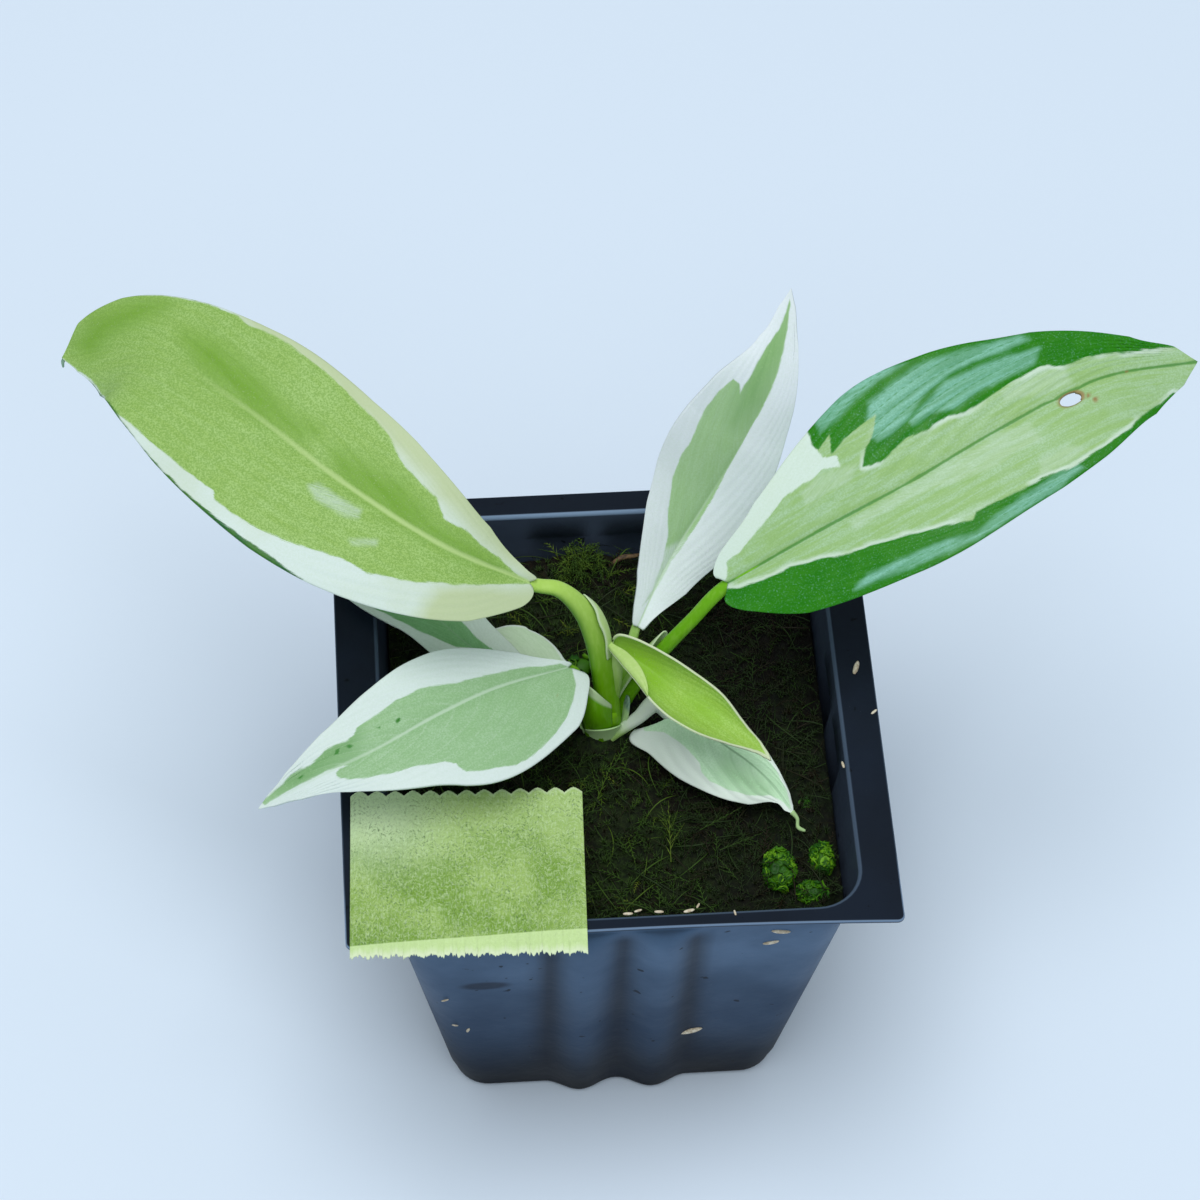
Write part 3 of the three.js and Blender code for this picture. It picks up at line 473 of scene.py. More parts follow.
LEAVES = {
    "leaf_left_large": dict(
        grid=(270, 100),
        midrib=[(-12, 6, 99), (-25.5, 8, 107), (-40.5, 17.5, 112), (-55.5, 31, 115), (-69.5, 43.5, 114),
                (-84, 49.5, 106)],
        faces=[(0.12, -0.45, 0.9), (0.1, -0.35, 0.95)],
        left=[1, 5.5, 10, 17, 18, 14, 8.5, 3, 0],
        right=[1, 2.5, 6, 12, 14, 11.5, 8.7, 5.5, 0],
        fold=(16, 12), curl=(-20, -16), sweep=(-40, 14), lobe=0.3, wave=(0.5, 3),
        stalk=[(0.2, 1, 68), (0, 1.9, 73), (-0.6, 3.2, 79), (-1.6, 4.6, 85), (-3.6, 5.8, 91),
               (-7.3, 6.3, 96.3)],
        radii=[2.2, 2, 1.95, 1.9, 1.7, 1.3, 1.05, 0.5], deep_and_shaded_flank=0.55,
        drip=[(-83.4, 49.6, 106.2), (-84, 49.2, 105.6), (-84, 48.4, 105)], drip_radii=[0.4, 0.3, 0.15],
        green=[[
            (560, 583), (528, 582), (500, 560), (480, 545), (466, 530), (445, 519), (437, 500), (421, 481),
            (405, 468), (388, 436), (366, 411), (343, 388), (321, 369), (292, 347), (270, 333), (248, 325),
            (229, 310), (193, 298), (150, 285), (40, 300), (40, 390), (80, 395), (104, 403),
            (130, 424), (152, 444), (187, 472), (214, 492), (214, 500), (229, 511), (248, 525), (286, 541),
            (337, 557), (369, 574), (417, 582), (455, 585), (509, 585), (528, 584),
        ]],
        deep=[
            [(187, 337), (216, 347), (260, 382), (292, 420), (318, 432), (299, 434), (254, 411), (229, 388),
             (203, 366)],
            [(337, 452), (401, 484), (433, 522), (496, 567), (465, 552), (394, 516), (337, 471)],
            [(80, 345), (95, 320), (140, 303), (165, 306), (150, 315), (110, 335), (90, 355)],
        ],
        pale=[
            [(308, 486), (316, 484), (362, 510), (358, 518), (340, 514), (314, 500)],
            [(349, 539), (378, 541), (376, 546), (352, 545)],
        ],
        dark_edge=(1, [(0.31, 0), (0.36, 0.8), (0.42, 0.8), (0.5, 0.25), (0.62, 0.1), (0.85, 0.08),
                       (0.92, 0)]),
        cream=[
            [(250, 270), (610, 560), (580, 640), (400, 640), (440, 590), (530, 584), (480, 545), (400, 455),
             (330, 390), (240, 320)],
        ],
        pale_edge=(-1, [(0.55, 0.3), (0.75, 0.25), (0.85, 0)]),
        other_pale_edge=(1, [(0.8, 0), (0.86, 0.5), (0.94, 0.3), (1, 0)]),
        vein_bend=0.6, vein_spacing=9, pleat=0.06, midrib_groove=0.25,
        paint=dict(
            ground=(152, 188, 100), grain=(112, 154, 58), vein=(176, 210, 138), deep=(102, 154, 14),
            dark=(38, 98, 52), white=(210, 226, 220), cream=(188, 203, 162), midrib=(184, 210, 140),
            midrib_width=0.8, midrib_reach=0.8, grain_share=0.9, vein_share=0.25, streak_share=0.25,
            line_share=0.12, pale_share=0.5, ragged=0.9,
        ),
    ),
    "leaf_right_large": dict(
        grid=(270, 100),
        midrib=[(19, 7, 95), (33.5, 10.5, 103), (47.5, 14.5, 109), (62, 21, 113), (78.5, 28.5, 115),
                (95, 33.5, 112)],
        faces=[(-0.1, -0.42, 0.9), (-0.12, -0.45, 0.9)],
        left=[2, 5.5, 9, 17.5, 16.5, 11.5, 5.5, 3, 0],
        right=[2.5, 6.5, 11, 14, 14, 12.5, 8, 3.6, 0],
        fold=(16, 12), curl=(-20, -16), sweep=(-35, 14), lobe=0.3, wave=(0.5, 2.5),
        hole=(0.733, -0.12, 6, 5), spots=[(1095, 400, 4.5), (1088, 396, 3.5), (1126, 372, 2.5)],
        stalk=[(1.2, 1.6, 66.5), (3.4, 3.6, 70.8), (7.8, 5.1, 78.2), (13.4, 6.1, 86.6)],
        radii=[1.4, 1.3, 1.2, 1.1, 1.05, 0.6], stalk_finish="green_stalk",
        green=[[
            (722, 584), (727, 577), (728, 562), (741, 551), (751, 539), (766, 520), (773, 511), (785, 498),
            (801, 484), (813, 479), (822, 470), (840, 466), (836, 456), (824, 458), (817, 450), (810, 430),
            (830, 380), (1000, 300), (1210, 320), (1220, 380), (1100, 500), (900, 640), (730, 640),
            (715, 600),
        ]],
        dark=[
            [(812, 446), (819, 450), (830, 434), (832, 454), (844, 439), (857, 429), (876, 415), (874, 429),
             (866, 448), (862, 468), (868, 465), (880, 461), (894, 450), (904, 440), (929, 428), (947, 417),
             (976, 407), (991, 395), (1013, 382), (1038, 368), (1047, 366), (1063, 367), (1085, 359),
             (1116, 353), (1147, 350), (1176, 347), (1182, 338), (1100, 300), (900, 320), (800, 400)],
            [(722, 588), (741, 587), (766, 579), (791, 568), (819, 559), (851, 553), (882, 543), (907, 536),
             (929, 531), (951, 525), (972, 520), (976, 512), (997, 501), (1022, 490), (1041, 479),
             (1069, 468), (1085, 459), (1110, 443), (1132, 426), (1147, 412), (1160, 404), (1172, 393),
             (1200, 400), (1000, 600), (750, 650), (720, 610)],
        ],
        pale=[
            [(800, 492), (822, 474), (840, 466), (862, 462), (852, 480), (826, 494), (806, 506)],
            [(1000, 392), (1040, 370), (1066, 370), (1072, 384), (1040, 394), (1004, 402)],
            [(1040, 460), (1070, 446), (1088, 448), (1066, 466), (1040, 474)],
            [(924, 533), (950, 520), (985, 503), (996, 500), (976, 514), (950, 527)],
            [(850, 522), (900, 492), (950, 462), (1000, 434), (1030, 424), (1040, 440), (990, 468),
             (930, 492), (884, 512), (856, 530)],
        ],
        # Outlines of the painted sheen, a reflection painted on the dark sectors
        sheen=[
            [(868, 402), (914, 366), (944, 356), (976, 346), (1020, 336), (1030, 340), (1008, 351),
             (976, 361), (944, 377), (922, 399), (906, 421), (893, 434), (878, 442), (866, 436)],
            [(909, 421), (925, 402), (944, 381), (976, 367), (1008, 356), (1040, 348), (1034, 364),
             (1008, 377), (982, 389), (957, 407), (931, 415), (912, 426)],
            [(814, 421), (830, 399), (852, 380), (880, 367), (906, 364), (880, 380), (855, 399), (836, 421),
             (820, 434)],
            [(905, 558), (944, 541), (976, 533), (1008, 507), (1038, 486), (1077, 462), (1084, 468),
             (1052, 494), (1008, 520), (976, 540), (925, 562), (880, 580), (855, 590), (868, 574)],
        ],
        vein_bend=0.75, vein_spacing=7, pleat=0.07, midrib_groove=0.3,
        paint=dict(
            ground=(152, 190, 120), grain=(132, 172, 92), vein=(178, 210, 180), deep=(60, 140, 24),
            # sheen is the colour of the painted sheen and glints
            dark=(30, 118, 2), sheen=(134, 194, 172), white=(212, 230, 218), cream=(206, 222, 194),
            midrib=(64, 132, 44), midrib_width=0.45, midrib_reach=4, grain_share=0.6, vein_share=0.15,
            streak_share=0.5, line_share=0.06, rim_share=0.7, pale_share=0.3, ragged=1.0,
        ),
    ),
    "leaf_back_upright": dict(
        grid=(180, 72),
        midrib=[(5.5, 11, 79), (10.5, 18.5, 85), (17, 24, 94), (23, 27.5, 105), (28, 31.5, 117),
                (30.5, 39.5, 127)],
        faces=[(-0.1, -0.9, 0.4), (-0.2, -0.9, 0.3)],
        left=[0.8, 2, 4, 9, 12, 9.5, 4, 1.5, 0],
        right=[0.8, 2, 5, 8.5, 7.5, 5, 2.5, 1.2, 0],
        fold=(18, 14), curl=(-20, -16), sweep=(-5, 16), lobe=0.25, wave=(0.4, 2),
        stalk=[(0.8, 2.2, 66.5), (2.6, 5.8, 70.8), (4, 8.4, 74.8)],
        radii=[0.95, 0.85, 0.8, 0.75, 0.45], stalk_finish="sheath",
        green=[[
            (640, 608), (652, 588), (663, 560), (666, 540), (667, 520), (669, 500), (672, 480), (680, 458),
            (690, 440), (700, 420), (707, 405), (717, 393), (725, 385), (733, 378), (739, 383), (740, 393),
            (747, 380), (758, 360), (770, 342), (780, 328), (784, 315), (790, 298), (791, 305), (788, 330),
            (781, 360), (772, 390), (760, 412), (745, 437), (730, 465), (712, 500), (700, 520), (688, 540),
            (672, 560), (656, 590),
        ]],
        pale=[[(640, 608), (650, 586), (664, 548), (690, 535), (672, 562), (656, 592)]],
        deep=[[(786, 300), (770, 330), (745, 372), (735, 420), (760, 400), (784, 350)]],
        vein_bend=0.55, vein_spacing=6, pleat=0.03, midrib_groove=0.2,
        paint=dict(
            ground=(160, 198, 142), grain=(144, 184, 118), vein=(176, 208, 166), deep=(120, 168, 100),
            white=(226, 235, 238), cream=(208, 220, 216), midrib=(186, 210, 180),
            midrib_width=0.3, midrib_reach=0.6, grain_share=0.4, vein_share=0.4, streak_share=0.3,
            line_share=0.08, pale_share=0.6, ragged=0.6,
        ),
    ),
    "leaf_front_left": dict(
        grid=(180, 84),
        midrib=[(-6, 3, 80), (-17.5, -3, 84), (-27, -9, 86), (-37, -15, 86), (-46.5, -18.5, 84),
                (-55.5, -21, 80)],
        faces=[(0, -0.25, 0.95), (0, -0.35, 0.93)],
        left=[2.5, 6.5, 12, 15, 10, 4.5, 2, 0.8, 0],
        right=[0.5, 2.2, 4.8, 9.5, 9, 6, 3, 1.2, 0],
        fold=(16, 12), curl=(-20, -16), sweep=(-45, 14), lobe=0.35, wave=(0.4, 2.5),
        stalk=[(-1.2, 0.8, 68), (-3, 1.2, 72.5), (-4.6, 1.8, 76.4)],
        radii=[1.8, 1.5, 1.3, 1, 0.5],
        green=[[
            (572, 668), (560, 664), (545, 667), (520, 668), (500, 673), (480, 677), (465, 681), (455, 684),
            (440, 686), (420, 689), (405, 696), (395, 701), (380, 712), (365, 722), (357, 728), (354, 736),
            (346, 742), (335, 746), (325, 751), (318, 758), (305, 768), (292, 775), (282, 785), (262, 802),
            (265, 806), (290, 790), (300, 785), (310, 780), (325, 771), (345, 766), (352, 766), (340, 769),
            (336, 774), (338, 778), (348, 779), (365, 778), (380, 776), (400, 771), (415, 767), (430, 764),
            (445, 762), (456, 764), (458, 767), (466, 772), (480, 772), (495, 769), (515, 766), (527, 761),
            (540, 749), (555, 734), (567, 716), (573, 700), (575, 685),
        ]],
        dark=[
            [(395, 721), (399, 718), (400, 720), (397, 723)],
            [(344, 747), (349, 744), (355, 746), (350, 749)],
            [(340, 748), (336, 751), (334, 755), (339, 753)],
            [(297, 779), (302, 775), (305, 776), (300, 780)],
            [(377, 728), (380, 727), (380, 730)],
        ],
        deep=[[
            (354, 736), (346, 742), (325, 751), (305, 768), (282, 785), (300, 782), (325, 765), (350, 752),
        ]],
        spots=[(557, 697, 1.6)],
        vein_bend=0.5, vein_spacing=5, pleat=0.05, midrib_groove=0.25,
        paint=dict(
            ground=(150, 188, 140), grain=(128, 172, 114), vein=(172, 204, 168), deep=(80, 140, 64),
            dark=(52, 124, 40), white=(213, 227, 223), cream=(214, 228, 220), midrib=(188, 212, 186),
            midrib_width=0.5, midrib_reach=1.1, grain_share=0.7, vein_share=0.3, streak_share=0.2,
            line_share=0.35, pale_share=0.5, ragged=0.6,
        ),
    ),
    "leaf_young_rolled": dict(
        grid=(140, 80),
        midrib=[(1, 4, 84), (5.5, 0, 84), (11, -4, 82), (17, -8, 80.5), (21.6, -11.8, 79),
                (24.6, -15.2, 77.8)],
        faces=[(-0.35, -0.3, 0.85), (-0.1, -0.2, 0.95)],
        left=[1.2, 3.4, 4.4, 5.1, 4, 1.6, 0.9, 0.5, 0],
        right=[1, 2, 3.5, 6.5, 7, 4, 1.5, 0.5, 0],
        fold=(6, 10), curl=(95, 25), sweep=(-10, 12), lobe=0.25, wave=(0.2, 2),
        stalk=[(1.2, 1.8, 72), (1.6, 2.6, 79)],
        radii=[0.8, 0.9, 0.9, 0.4], stalk_finish="sheath",
        deep=[
            [(618, 640), (634, 642), (655, 655), (668, 672), (666, 690), (650, 690), (630, 665)],
            [(690, 700), (705, 706), (715, 716), (700, 712)],
        ],
        pale_edge=(1, [(0, 0.35), (0.18, 0.35), (0.3, 0.1), (0.8, 0.15), (1, 0.6)]),
        other_pale_edge=(-1, [(0, 0.1), (0.5, 0.1), (0.8, 0.25), (1, 0.6)]),
        flap=dict(to=0.27, width=2.1, lift=0.5), thickness=0.34,
        vein_bend=0.5, vein_spacing=4, pleat=0.02, midrib_groove=0.12,
        paint=dict(
            ground=(156, 194, 84), grain=(130, 174, 50), vein=(176, 214, 122), deep=(126, 182, 0),
            white=(206, 218, 182), cream=(200, 214, 170), midrib=(140, 188, 60),
            midrib_width=0.3, midrib_reach=0.4, grain_share=0.8, vein_share=0.3, streak_share=0.3,
            line_share=0.04, pale_share=0.5, ragged=0.25,
        ),
    ),
    "leaf_front_right": dict(
        grid=(100, 60),
        midrib=[(10.5, 0, 70), (14, -3.5, 71), (18, -7.5, 71.5), (22, -11.5, 71.5), (25.5, -15.5, 70.5),
                (28, -19.5, 69)],
        faces=[(0, -0.2, 0.95), (0.1, -0.3, 0.9)],
        left=[5, 5.5, 6, 6.5, 5, 3.2, 1.8, 0.8, 0],
        right=[7, 9.2, 8.2, 8.3, 7.5, 5, 1.5, 0.8, 0],
        fold=(-14, -22), curl=(-16, -16), sweep=(-44, 14), lobe=0.4, wave=(0.3, 2),
        stalk=[(1.6, -0.6, 66.4), (5, 0.3, 69), (8, 1.7, 70.8)],
        radii=[0.9, 1.1, 1.5, 1.2, 0.4], stalk_finish="white_stalk",
        drip=[(27.8, -19.2, 69.2), (28.7, -20.1, 68.4), (28.8, -21.1, 67.4), (30, -21.6, 66.9)],
        drip_radii=[0.5, 0.34, 0.28, 0.34, 0.2],
        green=[[
            (645, 725), (644, 731), (665, 732), (686, 747), (700, 763), (702, 772), (711, 782), (730, 790),
            (750, 795), (771, 796), (782, 801), (790, 809), (794, 806), (791, 794), (784, 780), (771, 765),
            (750, 740), (700, 690), (660, 700),
        ]],
        deep=[[(728, 768), (745, 776), (766, 790), (750, 786), (735, 778)]],
        other_pale_edge=(1, [(0.3, 0.4), (0.6, 0.6), (1, 0.5)]),
        vein_bend=0.5, vein_spacing=4, pleat=0.05, midrib_groove=0.15,
        # These colours are painted lighter, to lift the shade that the young rolled leaf casts on this
        # blade
        paint=dict(
            ground=(198, 236, 196), grain=(166, 214, 164), vein=(214, 244, 214), deep=(104, 156, 92),
            white=(230, 242, 234), cream=(212, 226, 208), midrib=(130, 170, 130),
            midrib_width=0.2, midrib_reach=1.3, grain_share=0.5, vein_share=0.5, streak_share=0.2,
            line_share=0.2, pale_share=0.5, ragged=0.4,
        ),
    ),
    "leaf_rear_left": dict(
        grid=(110, 52),
        midrib=[(-12, 6, 70), (-16.5, 9, 72), (-22.5, 13.5, 74), (-28.5, 19.5, 75.5), (-35.5, 25, 76.5),
                (-42.5, 28.5, 77)],
        faces=[(0, -0.2, 0.95), (0, -0.2, 0.95)],
        left=[1, 2.5, 4.5, 5, 5.5, 6.5, 5.5, 3, 0],
        right=[1, 2, 3.5, 5, 6.5, 5.5, 3, 1, 0],
        fold=(14, 10), curl=(-20, -16), sweep=(-35, 14), lobe=0.35, wave=(0.3, 2),
        stalk=[(-1.5, 1.4, 66), (-5, 3.2, 68), (-8.6, 4.8, 69.2)],
        radii=[1, 0.9, 0.8, 0.7, 0.4],
        green=[[
            (340, 585), (378, 611), (420, 632), (456, 648), (487, 650), (500, 655), (478, 640), (460, 620),
            (430, 590), (380, 560), (345, 560),
        ]],
        vein_bend=0.4, vein_spacing=3, pleat=0.04, midrib_groove=0.15,
        paint=dict(
            ground=(106, 158, 100), grain=(80, 136, 80), vein=(128, 176, 128), white=(196, 212, 200),
            cream=(190, 206, 186), midrib=(120, 160, 120),
            midrib_width=0.2, midrib_reach=1.3, grain_share=0.4, vein_share=0.5, streak_share=0.2,
            line_share=0.15, pale_share=0.5, ragged=0.4,
        ),
    ),
    "leaf_smallest": dict(
        grid=(70, 44),
        midrib=[(-5.5, 10.5, 69), (-9, 12, 69.5), (-12, 12.5, 70), (-15.5, 13.5, 70), (-19, 14.5, 69.5),
                (-22.5, 15, 69)],
        faces=[(0, -0.1, 1), (0, -0.1, 1)],
        left=[1, 2.2, 4.5, 6, 5.5, 4, 2.5, 1, 0],
        right=[0.6, 1, 2, 5, 5.5, 4.5, 2, 0.7, 0],
        fold=(8, 6), curl=(-20, -16), sweep=(-40, 14), lobe=0.35, wave=(0.2, 2),
        stalk=[(-1, 2.2, 66), (-2.6, 5.2, 67.3), (-4.2, 8.2, 68.2)],
        radii=[0.9, 0.8, 0.7, 0.6, 0.4],
        pale_edge=(1, [(0, 0.35), (1, 0.3)]),
        other_pale_edge=(-1, [(0, 0.35), (1, 0.3)]),
        vein_bend=0.4, vein_spacing=2.5, pleat=0.03, midrib_groove=0.12,
        paint=dict(
            ground=(186, 210, 176), grain=(170, 198, 158), vein=(198, 218, 190), white=(204, 218, 206),
            cream=(198, 212, 190), midrib=(160, 186, 156),
            midrib_width=0.2, midrib_reach=1.3, grain_share=0.35, vein_share=0.5, streak_share=0.2,
            line_share=0.1, pale_share=0.5, ragged=0.3,
        ),
    ),
}


def half_width(widths, u):
    """How far an edge lies from the midrib, from the widths given at WIDTH_STATIONS."""
    last = len(WIDTH_STATIONS) - 1
    stations = np.array(WIDTH_STATIONS)
    index = np.clip(np.searchsorted(stations, u, side="left") - 1, 0, last - 1)
    share = np.clip((u - stations[index]) / (stations[index + 1] - stations[index]), 0, 1)
    share = np.where(index == 0, share ** BASE_ROUNDING, share)
    return np.maximum(0, through(widths, (index + share) / last))


def width_beside(leaf, u, v):
    """The half of the blade's width on the side where v lies."""
    return np.where(v >= 0, half_width(leaf["left"], u), half_width(leaf["right"], u))


def blade_frame(leaf, u):
    """Along, side and face directions of the blade at u."""
    along = unit(through(leaf["midrib"], u + SLOPE_STEP) - through(leaf["midrib"], u - SLOPE_STEP))
    first, last = (np.array(face, dtype=float) for face in leaf["faces"])
    side = unit(np.cross(mix(first, last, u[:, None]), along))
    return along, side, unit(np.cross(along, side))


def blade_surface(leaf, u, v):
    """The blade's middle surface, the same as in the solid, in millimetres. v is 1 at the left edge."""
    along, side, face = blade_frame(leaf, u)
    reach = np.abs(v)
    width = width_beside(leaf, u, v)
    fold = np.radians(mix(*leaf["fold"], u))
    curl = np.radians(mix(*leaf["curl"], u))
    sweep = np.radians(mix(*leaf["sweep"], smooth(u / leaf["lobe"])))
    across = (np.sin(fold + curl * reach) - np.sin(fold)) / curl
    rise = (np.cos(fold) - np.cos(fold + curl * reach)) / curl
    size, count = leaf["wave"]
    phase = np.where(v > 0, 0, 2)
    calmer_tip = np.minimum(1, 4 * (1 - u))
    wave = size * np.sin(2 * np.pi * count * u + phase) * reach**WAVE_POWER * calmer_tip
    return (
        through(leaf["midrib"], u)
        + side * (np.sign(v) * width * across * np.cos(sweep))[:, None]
        + along * (width * np.sin(sweep) * reach**SWEEP_POWER)[:, None]
        + face * (width * rise + wave)[:, None]
    )


def blade_length(leaf):
    return np.linalg.norm(np.diff(np.array(leaf["midrib"], dtype=float), axis=0), axis=1).sum()


def vein_place(leaf, u, v):
    """Millimetres across the veins and along them. A vein leaves the midrib and bends to the tip."""
    width = max(*leaf["left"], *leaf["right"])
    bent = leaf["vein_bend"] * np.abs(v) ** VEIN_POWER
    return (u - bent) * blade_length(leaf), v * width


def off_midrib_mm(leaf, u, v):
    return np.abs(v) * width_beside(leaf, u, v)


def off_vein_mm(leaf, u, v):
    """How far a point lies from the nearest side vein."""
    spacing = leaf["vein_spacing"]
    across, _ = vein_place(leaf, u, v)
    return np.abs(across - spacing * np.round(across / spacing))


def vein_share(u):
    """How clearly the side veins show: they fade towards the base and the tip, where they crowd."""
    return smooth(u / VEINLESS_BASE) * smooth((1 - u) / VEINLESS_TIP)


def blade_relief(leaf, u, v):
    """The sunken midrib, and the soft pleats between the side veins."""
    off_midrib = off_midrib_mm(leaf, u, v)
    groove = leaf["midrib_groove"] * bump(off_midrib, GROOVE_WIDTH_MM) * (1 - u)
    between_edges = smooth((1 - np.abs(v)) * 6) * smooth(off_midrib / 2) * vein_share(u)
    wavelength = leaf["vein_spacing"]
    pleat = leaf["pleat"] * np.cos(2 * np.pi * off_vein_mm(leaf, u, v) / wavelength) * between_edges
    return -groove - pleat


def open_round(leaf, u, v):
    """Draws the grid's lines round a hole, so that its edge is smooth. The last value is 1 on that edge."""
    at_u, at_v, steps_u, steps_v = leaf["hole"]
    rows, columns = leaf["grid"]
    across = (u - at_u) * rows / steps_u
    along = (v - at_v) * columns / 2 / steps_v
    square = np.maximum(np.abs(across), np.abs(along))
    round_off = np.hypot(across, along)
    shrink = np.where(round_off > 0, square / np.maximum(round_off, 1e-9), 1)
    shrink = mix(shrink, 1, np.clip(square - 1, 0, 1))
    return at_u + (u - at_u) * shrink, at_v + (v - at_v) * shrink, square


def blade_place(leaf):
    """The blade's surface with its relief, in metres."""
    def place(u, v):
        if "hole" in leaf:
            u, v, _ = open_round(leaf, u, v)
        low, high = np.clip(u - SLOPE_STEP, 0, 1), np.clip(u + SLOPE_STEP, 0, 1)
        near_tip = np.minimum(u, 1 - 5 * SLOPE_STEP)
        left, right = v + SLOPE_STEP, v - SLOPE_STEP
        along = blade_surface(leaf, high, v) - blade_surface(leaf, low, v)
        across = blade_surface(leaf, near_tip, left) - blade_surface(leaf, near_tip, right)
        facing = unit(np.cross(along, across))
        return (blade_surface(leaf, u, v) + facing * blade_relief(leaf, u, v)[:, None]) * MM
    return place


# Stands for a distance to a mark that the blade doesn't have
FAR_MM = 50.0
# An insect's hole: just past its edge, where the brown rim round it starts, how far that reaches and how
# brown it is
HOLE_EDGE = 1.01
BITTEN_FROM = 1.02
BITTEN_REACH = 0.22
BITTEN_SHARE = 0.8


def nearest_of(points, pixel_size, outlines):
    """How many millimetres points lie inside any of the outlines."""
    depths = [inside_by(points, outline) for outline in outlines]
    return np.max(depths, axis=0) * pixel_size if depths else np.full(len(points), -FAR_MM)


def edge_band(leaf, u, v, side, widths):
    """How far inside a band along one edge, in millimetres."""
    half = half_width(leaf["left"] if side > 0 else leaf["right"], u)
    stations, sizes = zip(*widths)
    band = np.interp(u, stations, sizes, left=0, right=0)
    depth = band - (1 - np.abs(v)) * half
    return np.where((v * side > 0) & (band > 0), depth, -FAR_MM)


def mark_blade(mesh, leaf, u, v):
    """Writes the blade's marks and its two maps on the mesh, for the leaf colour to read."""
    points = np.array([corner.co for corner in mesh.verts])
    seen, pixel_size = seen_at(points)
    green = np.full(len(points), FAR_MM)
    if "green" in leaf:
        green = nearest_of(seen, pixel_size, leaf["green"])
    dark = nearest_of(seen, pixel_size, leaf.get("dark", []))
    for name in ("pale_edge", "other_pale_edge"):
        if name in leaf:
            green = np.minimum(green, -edge_band(leaf, u, v, *leaf[name]))
    if "dark_edge" in leaf:
        dark = np.maximum(dark, edge_band(leaf, u, v, *leaf["dark_edge"]))
    keep_values(mesh, "green", green)
    keep_values(mesh, "dark", dark)
    for name in ("deep", "pale", "sheen", "cream"):
        keep_values(mesh, name, nearest_of(seen, pixel_size, leaf.get(name, [])))
    scar = np.zeros(len(points))
    for x, y, radius in leaf.get("spots", []):
        scar = np.maximum(scar, 1 - smooth(np.hypot(seen[:, 0] - x, seen[:, 1] - y) / radius))
    if "hole" in leaf:
        _, _, square = open_round(leaf, u, v)
        scar = np.maximum(scar, BITTEN_SHARE * (1 - smooth((square - BITTEN_FROM) / BITTEN_REACH)))
    keep_values(mesh, "scar", scar)
    keep_values(mesh, "along", u)
    keep_values(mesh, "off_midrib", off_midrib_mm(leaf, u, v))
    keep_values(mesh, "off_vein", off_vein_mm(leaf, u, v) + 1 - vein_share(u))
    keep_map(mesh, "veins", np.stack(vein_place(leaf, u, v), axis=1))
    beside_midrib = np.sign(v) * off_midrib_mm(leaf, u, v)
    keep_map(mesh, "blade", np.stack([u * blade_length(leaf), beside_midrib], axis=1))


def make_blade(name, leaf):
    mesh, u, v = grid_mesh(*leaf["grid"], blade_place(leaf))
    mark_blade(mesh, leaf, u, v)
    if "hole" in leaf:
        _, _, square = open_round(leaf, u, v)
        eaten = [face for face in mesh.faces if all(square[spot.index] < HOLE_EDGE for spot in face.verts)]
        bmesh.ops.delete(mesh, geom=eaten, context="FACES")
    join_seams(mesh)
    sockets = {
        key.replace("_", " ").title(): colour(*value) if isinstance(value, tuple) else value
        for key, value in leaf["paint"].items()
    }
    materials = [
        leaf_material(name + "_face", sockets),
        leaf_material(name + "_underside", sockets, under=True),
    ]
    blade = add_piece(name + "_blade", mesh, materials, replaces=name)
    thicken(blade, leaf.get("thickness", BLADE_THICKNESS_MM), underside=1)


# Stalks, sheaths and the crown

CHANNEL_WIDTH = 0.6
# How quickly a tube rounds shut at its ends: the reciprocal of the share of its length that this takes
TUBE_END = 60
CROWN_END = 40
SLANT_POWER = 2.5
# The part of its path that a sheath covers, clear of the path's rounded ends
SHEATH_STRETCH = (0.02, 0.98)


def closing_ends(u, quickness):
    """1 along a tube, and falling to 0 at both of its ends as a round end does."""
    return np.sqrt(np.clip(np.minimum(u, 1 - u) * quickness, 0, 1))


def tube_place(path, radii, channel=0.0, facing=(0, -0.3, 1)):
    """A round stalk through points, in millimetres, with a shallow channel along the side that faces."""
    def place(u, v):
        centre = through(path, u)
        along = unit(through(path, u + SLOPE_STEP) - through(path, u - SLOPE_STEP))
        side = unit(np.cross(np.broadcast_to(np.array(facing, dtype=float), along.shape), along))
        top = np.cross(along, side)
        turn = v * np.pi
        radius = through(radii, u) * (1 - channel * bump(turn, CHANNEL_WIDTH)) * closing_ends(u, TUBE_END)
        outward = top * np.cos(turn)[:, None] + side * np.sin(turn)[:, None]
        return (centre + outward * radius[:, None]) * MM
    return place


def close_tube(mesh):
    """Joins the long seam and the ends of a rolled grid, and turns its faces outwards."""
    join_seams(mesh)
    bmesh.ops.recalc_face_normals(mesh, faces=mesh.faces)


def sheath_place(path, radii, middle, spread, slant):
    """A thin sheath wrapped round a stalk: open on one side, and cut to a slant at its top."""
    tube = tube_place(path, radii)

    def place(u, v):
        reach = u * (1 - slant * np.abs(v) ** SLANT_POWER)
        return tube(mix(*SHEATH_STRETCH, reach), middle + spread * v)
    return place


